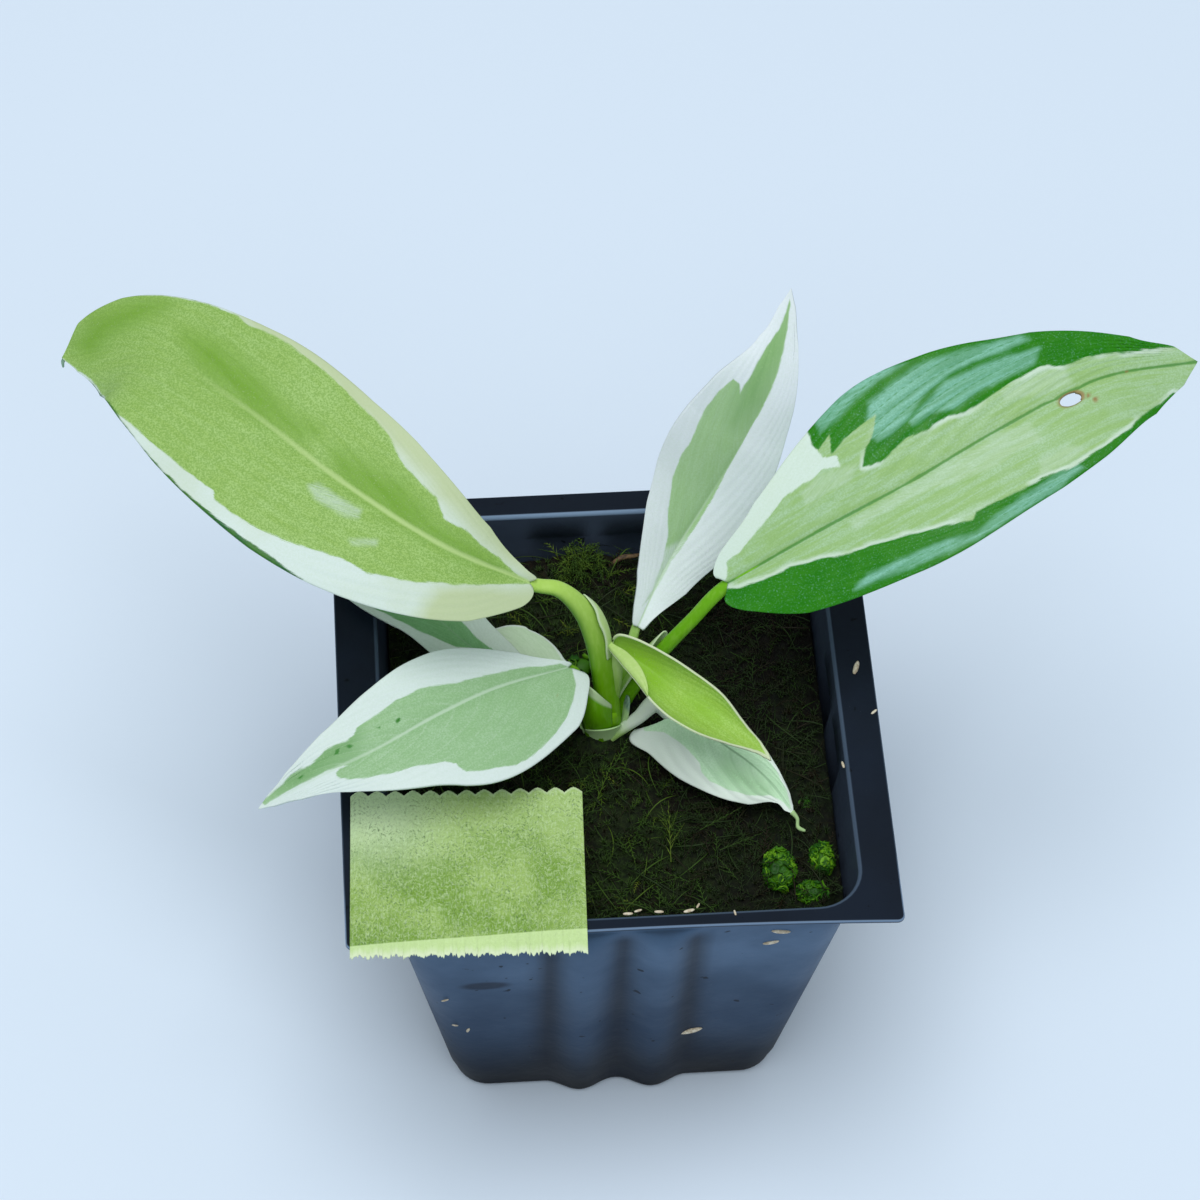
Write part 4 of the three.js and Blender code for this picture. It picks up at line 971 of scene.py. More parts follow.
# Fresh greens, each with its colours at the foot and at the top, its streaks, and the heights in
# millimetres between which the foot's colour gives way to the top's
FRESH_GREENS = {
    "pale_green_stalk": ((100, 158, 2), (166, 204, 92), (184, 216, 116), 76, 96),
    "green_stalk": ((84, 142, 0), (108, 174, 26), (146, 196, 76), 68, 86),
    "white_stalk": ((150, 186, 104), (206, 220, 204), (212, 226, 196), 66.5, 69),
    "sheath": ((110, 166, 30), (184, 212, 136), (196, 218, 160), 68, 90),
    "scale_leaf": ((170, 204, 142), (112, 146, 128), (190, 214, 172), 69.8, 71),
    "crown": ((78, 128, 6), (110, 166, 4), (134, 184, 40), 65, 71),
    "young_fold": ((160, 194, 96), (176, 206, 120), (196, 216, 150), 74, 84),
}
STALK_FIBRES = (1700, 1700, 150)
# A darker green down one flank of a stalk: its deeper green back, and painted shade on the side away from
# the light
DEEP_AND_SHADED_FLANK_GREEN = (62, 122, 0)
RIM_CREAM = (206, 222, 190)


def make_stalk_material(name, low, high, streak, bottom_mm, top_mm):
    """A fresh stalk: deeper green at its foot, paler to the blade, with fine lengthwise streaks."""
    material, tree, shader = new_material(name)
    place = object_place(tree)
    height = node(tree, "ShaderNodeSeparateXYZ", {0: place}).outputs["Z"]
    rise = step(tree, height, bottom_mm * MM, top_mm * MM)
    streaks = noise(tree, stretched(tree, place, STALK_FIBRES), 1.0, 3)
    clearer_above = sums(tree, "MULTIPLY_ADD", rise, 0.75, 0.25)
    base = over(
        tree, colour(*low),
        (rise, colour(*high)),
        (product(tree, step(tree, streaks, 0.4, 0.75, 0, 0.35), clearer_above), colour(*streak)),
        # Painted shade with the deeper green down one flank, then the sheaths' pale rims
        (value_of(tree, "deep_and_shaded_flank"), colour(*DEEP_AND_SHADED_FLANK_GREEN)),
        (value_of(tree, "pale_rim"), colour(*RIM_CREAM)),
    )
    finish(tree, shader, base, 0.4, WAXY_SPECULAR)
    tree.links.new(bump_from(tree, streaks, 0.06), shader.inputs["Normal"])
    return material


# How deep under the blade the middle of a stalk's last two points lies, by share of the blade's length
STALK_END_DEPTHS = ((0, 1.0), (0.16, 0.8))
# How much further a stalk runs into the crown, as a share of its first stretch
ROOTED_SHARE = 0.35
STALK_CHANNEL = 0.22
FLANK_SHARE = 0.9
FLANK_WIDTH = 0.2


def make_stalk(name, leaf, material):
    """The stalk of a leaf, run on under its blade as the start of the midrib."""
    ends = []
    for share, depth in STALK_END_DEPTHS:
        at = np.array([float(share)])
        _, _, face = blade_frame(leaf, at)
        ends.append((through(leaf["midrib"], at) - face * depth)[0])
    foot = np.array(leaf["stalk"][0], dtype=float)
    rooted = foot + (foot - np.array(leaf["stalk"][1], dtype=float)) * ROOTED_SHARE
    path = [rooted, *leaf["stalk"], *ends]
    radii = [leaf["radii"][0], *leaf["radii"]]
    mesh, _, v = grid_mesh(60, 20, tube_place(path, radii, STALK_CHANNEL, leaf["faces"][0]))
    # The darker flank: the stalk's deeper green back, with painted shade
    if "deep_and_shaded_flank" in leaf:
        keep_values(mesh, "deep_and_shaded_flank", FLANK_SHARE * bump(v - leaf["deep_and_shaded_flank"], FLANK_WIDTH))
    close_tube(mesh)
    add_piece(name + "_stalk", mesh, [material], replaces=name)


def make_drip_tip(name, leaf, material):
    """The thin curled point at the end of a blade."""
    mesh, _, _ = grid_mesh(24, 10, tube_place(leaf["drip"], leaf["drip_radii"]))
    close_tube(mesh)
    add_piece(name + "_drip_tip", mesh, [material], replaces=name)


# The fold dips as it turns in, starts a little open, is widest past its middle, and is fuller than a sine
FLAP_DIP = 0.2
FLAP_START = 0.1
FLAP_LEAN = 1.6
FLAP_FULLNESS = 0.7


def make_flap(name, leaf, material):
    """The part of a young blade's right edge that is still folded over, with its pale underside up."""
    flap = leaf["flap"]

    def place(u, v):
        at = u * flap["to"]
        edge = np.full(len(at), -1.0)
        start = blade_surface(leaf, at, edge)
        _, side, face = blade_frame(leaf, at)
        inward = unit(side - FLAP_DIP * face)
        share = (v + 1) / 2
        along_flap = mix(FLAP_START, 1, u**FLAP_LEAN)
        width = flap["width"] * np.sin(np.pi * along_flap) ** FLAP_FULLNESS
        rise = flap["lift"] * np.sin(np.pi * np.minimum(share * 1.2, 0.75))
        return (start + inward * (width * share)[:, None] + face * rise[:, None]) * MM

    mesh, _, _ = grid_mesh(36, 12, place)
    fold = add_piece(name + "_fold", mesh, [material], replaces=name)
    thicken(fold, SHEATH_THICKNESS_MM)


# Each sheath: its path and radii, where round the stalk it sits and how far it spreads, in half turns, and
# how much lower its sides are than its tip
SHEATHS = {
    "leaf_left_large": dict(
        path=[(-0.9, 3.8, 81.5), (-1.6, 4.6, 85), (-2.5, 5.2, 88), (-3.4, 5.7, 90.5), (-4.8, 6.1, 93)],
        radii=[1.7, 2.3, 2.5, 2.3, 1.8], middle=-0.42, spread=0.34, slant=0.3),
    "leaf_right_large": dict(
        path=[(1.2, 1.6, 66.5), (3.4, 3.6, 70.8), (7.8, 5.1, 78.2), (10.6, 5.6, 82.4)],
        radii=[1.6, 1.7, 2.1, 2], middle=0.5, spread=0.42, slant=0.35),
}

# The sheath at the foot of the front left leaf clasps the crown: its free margin and its foot, from left to
# right
CLASP_MARGIN = [(-4.4, 2.4, 77), (-3, 1, 77.4), (-1.8, 0.1, 76.9), (-0.6, -0.1, 75.3), (0.6, 0.1, 73.2)]
CLASP_FOOT = [(-3.9, 0.6, 69), (-3.3, -0.7, 69), (-2.2, -1.5, 69), (-0.9, -1.8, 69), (0.7, -1.3, 69.2)]
CLASP_BULGE = (-0.3, -0.8, 0)


def make_clasp(name, material):
    """The sheath that clasps the crown, bulging a little, with a pale free margin."""
    def place(u, v):
        share = (v + 1) / 2
        flat = mix(through(CLASP_FOOT, share), through(CLASP_MARGIN, share), u[:, None])
        round_out = np.sin(np.pi * u) * np.sin(np.pi * share)
        return (flat + round_out[:, None] * np.array(CLASP_BULGE)) * MM

    mesh, u, _ = grid_mesh(30, 24, place)
    keep_values(mesh, "pale_rim", 0.6 * smooth((u - 0.8) / 0.08))
    sheath_piece = add_piece(name + "_sheath", mesh, [material], replaces=name)
    thicken(sheath_piece, SHEATH_THICKNESS_MM)


def make_sheath(name, sheath, material):
    """A sheath with a pale margin along its sides and its tip."""
    mesh, u, v = grid_mesh(40, 24, sheath_place(**sheath))
    rim = np.maximum(smooth((np.abs(v) - 0.8) / 0.15), smooth((u - 0.84) / 0.08))
    keep_values(mesh, "pale_rim", 0.7 * rim)
    join_seams(mesh)
    sheath_piece = add_piece(name + "_sheath", mesh, [material], replaces=name)
    thicken(sheath_piece, SHEATH_THICKNESS_MM)


CROWN_PLACE = (-0.8, 1.3)
# Radius and height of the crown from its foot to its top
CROWN_STATIONS = [(1.4, 58), (2.4, 60), (2.8, 63.5), (3.1, 65.5), (3.1, 67), (3.0, 68.5), (2.9, 69.8),
                  (2.4, 70.9), (0.8, 71.5)]


def round_crown(radius, turn, height):
    """Points round the crown's middle line, in metres."""
    x = CROWN_PLACE[0] + radius * np.cos(turn)
    y = CROWN_PLACE[1] + radius * np.sin(turn)
    return np.stack([x, y, height], axis=1) * MM


def crown_place(u, v):
    """The crown's stem, a little uneven all round."""
    profile = through(CROWN_STATIONS, u)
    turn = v * np.pi
    uneven = 1 + 0.05 * np.sin(3 * turn + 1) + 0.03 * np.sin(7 * turn)
    return round_crown(profile[:, 0] * uneven * closing_ends(u, CROWN_END), turn, profile[:, 1])


# Scale leaves round the crown: angle and half spread in half turns, foot and top height, and how far each
# leans out
SCALE_LEAVES = [
    (-0.46, 0.36, 66, 69.7, 0.4),
    (0.75, 0.35, 65, 69.5, 0.6),
    (0.06, 0.16, 66, 72.2, 1.3),
]
SCALE_LEAF_RADIUS = 3.15
# How much lower the sides of a scale leaf are than its tip, and how much closer they hug the crown
SCALE_LEAF_SLOPE = 0.6
SCALE_LEAF_HUG = 0.2


def make_crown(material, pale_material):
    """The stem that the leaves grow from, with the thin scale leaves round its foot."""
    mesh, _, _ = grid_mesh(48, 40, crown_place)
    close_tube(mesh)
    add_piece("crown_body", mesh, [material], replaces="crown")
    for number, (middle, spread, foot, top, lean) in enumerate(SCALE_LEAVES, start=1):
        def place(u, v):
            turn = (middle + spread * v) * np.pi
            height = mix(foot, top, u * (1 - SCALE_LEAF_SLOPE * v**2))
            radius = SCALE_LEAF_RADIUS + lean * u**2 - SCALE_LEAF_HUG * np.abs(v) ** 3
            return round_crown(radius, turn, height)

        leaf, _, _ = grid_mesh(16, 24, place)
        piece = add_piece(f"crown_scale_leaf_{number}", leaf, [pale_material], replaces="crown")
        thicken(piece, SHEATH_THICKNESS_MM)


# Pot, the same shape as the solid with finer curves

RIM_SIDE = 86
POT_HEIGHT = 73.4
FOOT_SIDE = 54.4
FOOT_CENTRE = (0.4, 0.2)
WALL = 0.8
WALL_TOP = (37.2, 39.8)
WALL_TOP_CENTRE = (0.3, -0.5)
FOOT_CORNER_RADIUS = 6
TOP_CORNER_RADIUS = 7.5
FRONT_BOW = 1.1
FRONT_BAND = 2
RIB_OFFSET = 6.1
RIB_HALF_WIDTH = 6
RIB_PROUD = 2
RIB_ARCH = (63.5, 68.5)
FOOT_ROUNDING = 2
UNDER_FLANGE_ROUNDING = 0.9
EDGE_ROUNDING = 0.25
LIP_ROUNDING = 0.7
RIM_CORNER_RADIUS = 1.2
SIDE_STEPS = 8
RIB_STEPS = 9
CORNER_STEPS = 10
# How far the evenly spaced rings of the wall keep from its rounded foot and from the arches of its ribs
RING_MARGIN = 2
# How far a face's normal has to rise for the face to count as level
LEVEL_FACE = 0.999
# A painted highlight lies on the rim's edges that face the front, from a distance on and over a stretch,
# and a little elsewhere
HIGHLIGHT_FROM = 30
HIGHLIGHT_STRETCH = 8
HIGHLIGHT_ELSEWHERE = 0.3
# Painted shade in the grooves between the ribs: half widths at the foot and the top, how far they lie in
# from the ribs' flanks, and the stretch over which they end below the arches
GROOVE_SPREAD = (3.2, 1.8)
GROOVE_INSET = 0.8
GROOVE_END = 4
DRAIN_RADIUS = 3
DRAIN_OFFSET = 14
FLANGE_UNDERSIDE = POT_HEIGHT - WALL
FRONT_WALL_POINT = (0, FOOT_CENTRE[1] - FOOT_SIDE / 2, 0)
WALL_LEAN = FOOT_CENTRE[1] - FOOT_SIDE / 2 - (WALL_TOP_CENTRE[1] - WALL_TOP[1])
FRONT_WALL_NORMAL = (0, -FLANGE_UNDERSIDE, -WALL_LEAN)
# A shallow dent in the front wall, shown only as a painted shade: its pixel, its place on the wall, and its
# reach in millimetres
DENT_PIXEL = (485, 986)
DENT_PLACE = seen_on(DENT_PIXEL, FRONT_WALL_POINT, FRONT_WALL_NORMAL)
DENT_REACH = (4.6, 3, 1.9)


def round_steps(count):
    """The angles of a quarter turn in even steps."""
    return [math.pi / 2 * i / count for i in range(count + 1)]


def pot_ring(half_x, half_y, centre, corner, rib_proud, z):
    """One ring of the pot: a rounded rectangle, counter-clockwise from above, with two soft ribs a side."""
    ring = []
    sides = [
        ((1, 0), (0, 1), half_x, half_y), ((0, 1), (-1, 0), half_y, half_x),
        ((-1, 0), (0, -1), half_x, half_y), ((0, -1), (1, 0), half_y, half_x),
    ]
    for out, along, reach, half in sides:
        shares = [i / SIDE_STEPS for i in range(1, SIDE_STEPS)]
        spots = [(reach, mix(-half + corner, -RIB_OFFSET - RIB_HALF_WIDTH, share)) for share in shares]
        for rib in (-RIB_OFFSET, RIB_OFFSET):
            for i in range(2 * RIB_STEPS + 1):
                share = i / RIB_STEPS - 1
                swell = rib_proud * (1 + math.cos(math.pi * share)) / 2
                spots.append((reach + swell, rib + RIB_HALF_WIDTH * share))
        spots += [(reach, mix(RIB_OFFSET + RIB_HALF_WIDTH, half - corner, share)) for share in shares]
        spots += [
            (reach - corner * (1 - math.cos(a)), half - corner * (1 - math.sin(a)))
            for a in round_steps(CORNER_STEPS)
        ]
        for outward, sideways in spots:
            ring.append((
                centre[0] + out[0] * outward + along[0] * sideways,
                centre[1] + out[1] * outward + along[1] * sideways,
                z,
            ))
    return np.array(ring)


def wall_ring(shape_z, inset, z=None):
    """The wall's outline at a height, moved in by inset, and laid at height z."""
    share = shape_z / FLANGE_UNDERSIDE
    half = [mix(FOOT_SIDE / 2, top, share) - inset for top in WALL_TOP]
    centre = [mix(foot, top, share) for foot, top in zip(FOOT_CENTRE, WALL_TOP_CENTRE)]
    corner = mix(FOOT_CORNER_RADIUS, TOP_CORNER_RADIUS, share) - inset
    rise = np.clip((shape_z - RIB_ARCH[0]) / (RIB_ARCH[1] - RIB_ARCH[0]), 0, 1)
    proud = RIB_PROUD * math.sqrt(1 - rise * rise)
    return pot_ring(*half, centre, corner, proud, shape_z if z is None else z)


def flange_ring(inset, z):
    """The flange's outline, with its front side bowed inwards a little."""
    half = RIM_SIDE / 2 - inset
    ring = pot_ring(half, half, (0, 0), RIM_CORNER_RADIUS - inset, 0, z)
    on_front = ring[:, 1] < FRONT_BAND - half
    ring[:, 1] += FRONT_BOW * (1 - (ring[:, 0] / half) ** 2) * on_front
    return ring


def growing(size):
    """From nothing to size over a quarter turn, slowly at first."""
    return lambda angle: size * (1 - math.cos(angle))


def shrinking(size):
    """From size to nothing over a quarter turn, slowly at last."""
    return lambda angle: size * (1 - math.sin(angle))


def rounding(ring, count, inset, inset_change, z, z_change):
    """Rings round a quarter turn. The changes say how far in and how far up each has moved at its angle."""
    return [ring(inset + inset_change(angle), z + z_change(angle)) for angle in round_steps(count)]


def pot_rings():
    """The rings from the foot up the outside and down the inside, with the painted highlight and the inside
    of each.
    """
    def foot_ring(inset, z):
        return wall_ring(0, inset, z)

    def top_ring(inset, z):
        return wall_ring(FLANGE_UNDERSIDE, inset, z)

    def floor_ring(inset, z):
        return wall_ring(WALL, inset, z)

    arch = [mix(*RIB_ARCH, math.sin(a)) for a in round_steps(8)]
    below_arch = RIB_ARCH[0] - RING_MARGIN
    outside = rounding(foot_ring, 6, 0, shrinking(FOOT_ROUNDING), 0, growing(FOOT_ROUNDING))
    outside += [wall_ring(z, 0) for z in np.linspace(FOOT_ROUNDING + 2 * RING_MARGIN, below_arch, 12)]
    outside += [wall_ring(z, 0) for z in arch]
    outside += rounding(top_ring, 4, 0, growing(-UNDER_FLANGE_ROUNDING),
                        FLANGE_UNDERSIDE, shrinking(-UNDER_FLANGE_ROUNDING))
    outside += rounding(flange_ring, 3, 0, shrinking(EDGE_ROUNDING),
                        FLANGE_UNDERSIDE, growing(EDGE_ROUNDING))
    rim = rounding(flange_ring, 3, 0, growing(EDGE_ROUNDING), POT_HEIGHT, shrinking(-EDGE_ROUNDING))
    lip = rounding(top_ring, 5, WALL, shrinking(-LIP_ROUNDING), POT_HEIGHT, growing(-LIP_ROUNDING))
    inside = [wall_ring(z, WALL) for z in arch[::-1]]
    above_foot = FOOT_ROUNDING + WALL + RING_MARGIN
    inside += [wall_ring(z, WALL) for z in np.linspace(below_arch, above_foot, 8)]
    inside += rounding(floor_ring, 5, WALL, growing(FOOT_ROUNDING), WALL, shrinking(FOOT_ROUNDING))
    # The painted highlight on each ring: the flange's outer top edge and the inner lip
    edge_highlights = [0] * len(outside) + [1, 1, 0.8, 0] + [0, 1, 1, 1, 0.8, 0] + [0] * len(inside)
    within = [0] * (len(outside) + len(rim) + 3) + [0.5, 1, 1] + [1] * len(inside)
    lip_start = (len(outside) + len(rim) - 0.5) / (len(edge_highlights) - 1)
    return outside + rim + lip + inside, edge_highlights, within, lip_start


def make_pot(material):
    """The pot as one thin skin from its foot to its floor, with four drain holes through both."""
    rings, edge_highlights, within, lip_start = pot_rings()
    count = len(rings[0])
    closed = [np.concatenate([ring, ring[:1]]) for ring in rings]

    def place(u, v):
        rows = np.rint(u * (len(rings) - 1)).astype(int)
        around = np.rint((v + 1) / 2 * count).astype(int)
        return np.array([closed[row][spot] for row, spot in zip(rows, around)]) * MM

    mesh, u, _ = grid_mesh(len(rings) - 1, count, place)
    rows = np.rint(u * (len(rings) - 1)).astype(int)
    spots = np.array([corner.co for corner in mesh.verts]) / MM
    # The painted highlight is strongest on the edges that face the front
    facing = np.where(u < lip_start, -1, 1) * spots[:, 1]
    to_front = smooth((facing - HIGHLIGHT_FROM) / HIGHLIGHT_STRETCH)
    keep_values(mesh, "edge", np.array(edge_highlights)[rows] * mix(HIGHLIGHT_ELSEWHERE, 1, to_front))
    # Where the painted shade of the grooves lies, beside the ribs
    sideways = np.abs(spots[:, :2]).min(axis=1)
    flank = RIB_OFFSET + RIB_HALF_WIDTH - GROOVE_INSET
    spread = mix(*GROOVE_SPREAD, spots[:, 2] / POT_HEIGHT)
    grooves = np.maximum(bump(sideways, spread), bump(sideways - flank, spread))
    below_arch = smooth((RIB_ARCH[1] - spots[:, 2]) / GROOVE_END)
    keep_values(mesh, "groove", grooves * below_arch * (np.array(within)[rows] == 0))
    keep_values(mesh, "inner", np.array(within)[rows])
    join_seams(mesh)
    floors = {}
    for z in (0, WALL):
        level = [edge for edge in mesh.edges if abs(edge.verts[0].co.z - z * MM) < SEAM_METRES]
        floors[z] = [edge for edge in level if edge.is_boundary]
    holes = []
    for x in (-DRAIN_OFFSET, DRAIN_OFFSET):
        for y in (-DRAIN_OFFSET, DRAIN_OFFSET):
            pair = []
            for z in floors:
                spot = Matrix.Translation(Vector((x, y, z)) * MM)
                made = bmesh.ops.create_circle(mesh, segments=32, radius=DRAIN_RADIUS * MM, matrix=spot)
                edges = list({edge for corner in made["verts"] for edge in corner.link_edges})
                floors[z] += edges
                pair += edges
            holes.append(pair)
    for edges in floors.values():
        bmesh.ops.triangle_fill(mesh, use_beauty=True, edges=edges)
    for pair in holes:
        bmesh.ops.bridge_loops(mesh, edges=pair)
    bmesh.ops.recalc_face_normals(mesh, faces=mesh.faces)
    pot = add_piece("nursery_pot", mesh, [material], replaces="pot")
    for face in pot.data.polygons:
        face.use_smooth = abs(face.normal.z) < LEVEL_FACE


# The plastic's tones, from its foot up, and then the painted highlight on its edges
# The foot tone is painted shade, the wall and shoulder tones are a painted reflection that grows lighter up
# the wall, and the inside tone is painted light on the inner wall
PLASTIC = dict(
    foot=(3, 5, 10), wall=(50, 71, 96), shoulder=(82, 108, 137), groove=(10, 14, 24), flange=(22, 29, 39),
    inside=(58, 68, 84), cloud=(26, 38, 56), dust=(104, 116, 128), speck=(8, 10, 14),
    painted_edge_highlight=(122, 146, 174), dent=(16, 22, 36),
)


def make_plastic():
    """Black formed plastic, satin, with dust and specks. Its slate blue up the wall is a painted
    reflection, with painted shade at its foot, in its grooves and in one dent, and a painted highlight on
    its edges that face the front.
    """
    material, tree, shader = new_material("pot_plastic")
    place = object_place(tree)
    height = node(tree, "ShaderNodeSeparateXYZ", {0: place}).outputs["Z"]
    dust = noise(tree, place, 900, 5, 0.7)
    clouds = noise(tree, place, 60, 4)
    specks = noise(tree, place, 520, 2, 0.4)
    spot = node(tree, "ShaderNodeMapping", {
        "Vector": place, "Location": [-at / reach for at, reach in zip(DENT_PLACE, DENT_REACH)],
        "Scale": [1 / (reach * MM) for reach in DENT_REACH],
    }).outputs[0]
    off_dent = node(tree, "ShaderNodeVectorMath", {0: spot}, operation="LENGTH").outputs["Value"]
    tone = {name: colour(*shown) for name, shown in PLASTIC.items()}
    base = over(
        tree, tone["foot"],
        # Painted shade at the foot, giving way to the painted reflection of the wall and the lighter
        # shoulder
        (step(tree, height, 3 * MM, 31 * MM), tone["wall"]),
        (step(tree, height, 30 * MM, 66 * MM), tone["shoulder"]),
        # Painted shade in the grooves between the ribs
        (product(tree, value_of(tree, "groove"), 0.75), tone["groove"]),
        (step(tree, height, 70 * MM, 72.4 * MM), tone["flange"]),
        # Painted light on the inside wall
        (value_of(tree, "inner"), tone["inside"]),
        (step(tree, clouds, 0.35, 0.7, 0, 0.3), tone["cloud"]),
        (step(tree, dust, 0.66, 0.8, 0, 0.35), tone["dust"]),
        (step(tree, specks, 0.72, 0.76, 0, 0.8), tone["speck"]),
        # Painted highlight on the rim's edges
        (product(tree, value_of(tree, "edge"), 0.85), tone["painted_edge_highlight"]),
        # Painted shade of the shallow dent; the mesh has no dent
        (product(tree, step(tree, off_dent, 0.55, 1.1, 1, 0), 0.7), tone["dent"]),
    )
    finish(tree, shader, base, step(tree, clouds, 0.3, 0.7, 0.38, 0.5), 0.07)
    peel = noise(tree, place, 420, 3)
    tree.links.new(bump_from(tree, peel, 0.06), shader.inputs["Normal"])
    return material


# Growing medium with moss

MEDIUM_TOP = 64
MEDIUM_EDGE = 63
MEDIUM_INSET = 1.1
# The top's rounded edge: how far it drops over which share of the half side, and where it stops
EDGE_DROP = 0.8
EDGE_BAND = 0.07
LOWEST_TOP = 61.5
# Heights, from the edge down to the foot, at which the hidden side of the medium draws in, and by how much
MEDIUM_STEPS = (40, 12, 2.2)
WALL_CLEARANCE = 1
# Mounds and hollows: middle, radius and height
MOUNDS = [
    (-1, -1.6, 3.6, 2.1), (8, -7, 6, -1.8), (-22, 27, 9, 2.5), (-2, 35, 6, 2.5), (14, 28, 9, -2),
    (27, 22, 7, 1.5), (26, 4, 8, 2), (-27, 8, 8, 1), (-10, -16, 9, 1.5), (6, -27, 10, -1.5),
    (16, -6, 8, -1), (31, -15, 5, 1.5),
]
# Soft swells and finer crumbs of the surface, and how fast each changes for each millimetre
SWELL_HEIGHT = 1.1
SWELL_DROP = 0.5
SWELL_SCALE = 0.16
CRUMB_HEIGHT = 0.5
CRUMB_SCALE = 0.6
CRUMB_SHIFT = Vector((9, 4, 2))
# Under the lumps of liverwort
LUMP_MOUNDS = [(25.5, -28, 3.2, 2.5), (32, -26, 2.8, 2), (30, -33, 2.8, 2)]


def medium_height(x, y):
    """The medium's top, in millimetres: broad mounds and a crumbly surface."""
    z = MEDIUM_TOP
    for at_x, at_y, radius, height in MOUNDS + LUMP_MOUNDS:
        z += height * math.exp(-((x - at_x) ** 2 + (y - at_y) ** 2) / radius**2)
    spot = Vector((x, y, 0))
    z += SWELL_HEIGHT * turbulence(spot * SWELL_SCALE, 4, True) - SWELL_DROP
    z += CRUMB_HEIGHT * turbulence(spot * CRUMB_SCALE + CRUMB_SHIFT, 3, False)
    return z


def medium_ring_sizes(z):
    """Half sides, middle and corner radius of the medium at a height, clear of the wall."""
    share = z / FLANGE_UNDERSIDE
    half = [mix(FOOT_SIDE / 2, top, share) - MEDIUM_INSET for top in WALL_TOP]
    centre = [mix(foot, top, share) for foot, top in zip(FOOT_CENTRE, WALL_TOP_CENTRE)]
    return half, centre, mix(FOOT_CORNER_RADIUS, TOP_CORNER_RADIUS, share) - MEDIUM_INSET


def rounded(x, y, z):
    """Lays a square's point into the rounded opening of the pot at a height."""
    (half_x, half_y), centre, corner = medium_ring_sizes(z)
    shell = max(abs(x), abs(y))
    over_x = abs(x) * half_x - (half_x - corner) * shell
    over_y = abs(y) * half_y - (half_y - corner) * shell
    at_x, at_y = abs(x) * half_x, abs(y) * half_y
    if over_x > 0 and over_y > 0:
        shrink = max(over_x, over_y) / math.hypot(over_x, over_y)
        at_x = (half_x - corner) * shell + over_x * shrink
        at_y = (half_y - corner) * shell + over_y * shrink
    return centre[0] + math.copysign(at_x, x), centre[1] + math.copysign(at_y, y)


def make_medium(material):
    """The medium: a crumbly top with rounded edges, on a plain hidden body down to the pot's floor."""
    def place(u, v):
        spots = []
        for x, y in zip(2 * u - 1, v):
            at_x, at_y = rounded(x, y, MEDIUM_EDGE)
            shell = max(abs(x), abs(y))
            drop = EDGE_DROP * smooth((shell - 1 + EDGE_BAND) / EDGE_BAND)
            spots.append((at_x, at_y, max(medium_height(at_x, at_y) - drop, LOWEST_TOP)))
        return np.array(spots) * MM

    mesh, _, _ = grid_mesh(170, 180, place)
    bmesh.ops.recalc_face_normals(mesh, faces=mesh.faces)
    rim = [edge for edge in mesh.edges if edge.is_boundary]
    top_half, top_centre, _ = medium_ring_sizes(MEDIUM_EDGE)
    for z in MEDIUM_STEPS:
        made = bmesh.ops.extrude_edge_only(mesh, edges=rim)["geom"]
        corners = [part for part in made if isinstance(part, bmesh.types.BMVert)]
        rim = [part for part in made if isinstance(part, bmesh.types.BMEdge)]
        half, centre, _ = medium_ring_sizes(z)
        for corner in corners:
            flat = [
                centre[i] + (corner.co[i] / MM - top_centre[i]) * (half[i] - WALL_CLEARANCE) / top_half[i]
                for i in (0, 1)
            ]
            corner.co = Vector((*flat, z)) * MM
    bmesh.ops.triangle_fill(mesh, use_beauty=False, edges=rim)
    bmesh.ops.recalc_face_normals(mesh, faces=mesh.faces)
    add_piece("medium_surface", mesh, [material], replaces="growing_medium")


# The medium's tones, dark and light: brown fibre, and green moss
FIBRE_TONES = ((10, 9, 7), (34, 28, 18))
MOSS_TONES = ((14, 24, 9), (38, 56, 18))
SHADED_MEDIUM = (7, 9, 8)


def make_medium_material():
    """Dark wet fibre with green moss in patches, with painted shade darker to the right."""
    material, tree, shader = new_material("growing_medium")
    place = object_place(tree)
    patches = noise(tree, place, 70, 5, 0.6)
    crumbs = noise(tree, place, 900, 5, 0.7)
    lit = step(tree, crumbs, 0.35, 0.7)
    fibre, green = (
        over(tree, colour(*dark), (lit, colour(*light))) for dark, light in (FIBRE_TONES, MOSS_TONES)
    )
    across = node(tree, "ShaderNodeSeparateXYZ", {0: place}).outputs["X"]
    base = over(
        tree, fibre,
        (step(tree, patches, 0.4, 0.56), green),
        # Painted shade over the medium to the right
        (step(tree, across, 4 * MM, 24 * MM, 0, 0.5), colour(*SHADED_MEDIUM)),
    )
    finish(tree, shader, base, 0.8, 0.2)
    tree.links.new(bump_from(tree, crumbs, 0.6), shader.inputs["Normal"])
    return material


def make_tinted_material(name, tints):
    """Many small growths in one piece: each has its own tint, picked along a row of colours."""
    material, tree, shader = new_material(name)
    tint = value_of(tree, "tint")
    base = over(tree, colour(*tints[0][1]), *(
        (step(tree, tint, low, high), colour(*shown)) for (low, _), (high, shown) in zip(tints, tints[1:])
    ))
    finish(tree, shader, base, 0.55, 0.25)
    return material


def template_of(name, mesh):
    data = bpy.data.meshes.new(name)
    mesh.to_mesh(data)
    mesh.free()
    return data


def small_stem(mesh, steps, thickness):
    """A thin round stem along +X, a unit long. thickness gives its radius at each share of the length."""
    for corner in bmesh.ops.create_grid(mesh, x_segments=steps, y_segments=3, size=1)["verts"]:
        share, turn = (corner.co.x + 1) / 2, corner.co.y * math.pi
        corner.co = Vector((share, thickness(share) * math.cos(turn), thickness(share) * math.sin(turn)))
    join_seams(mesh)


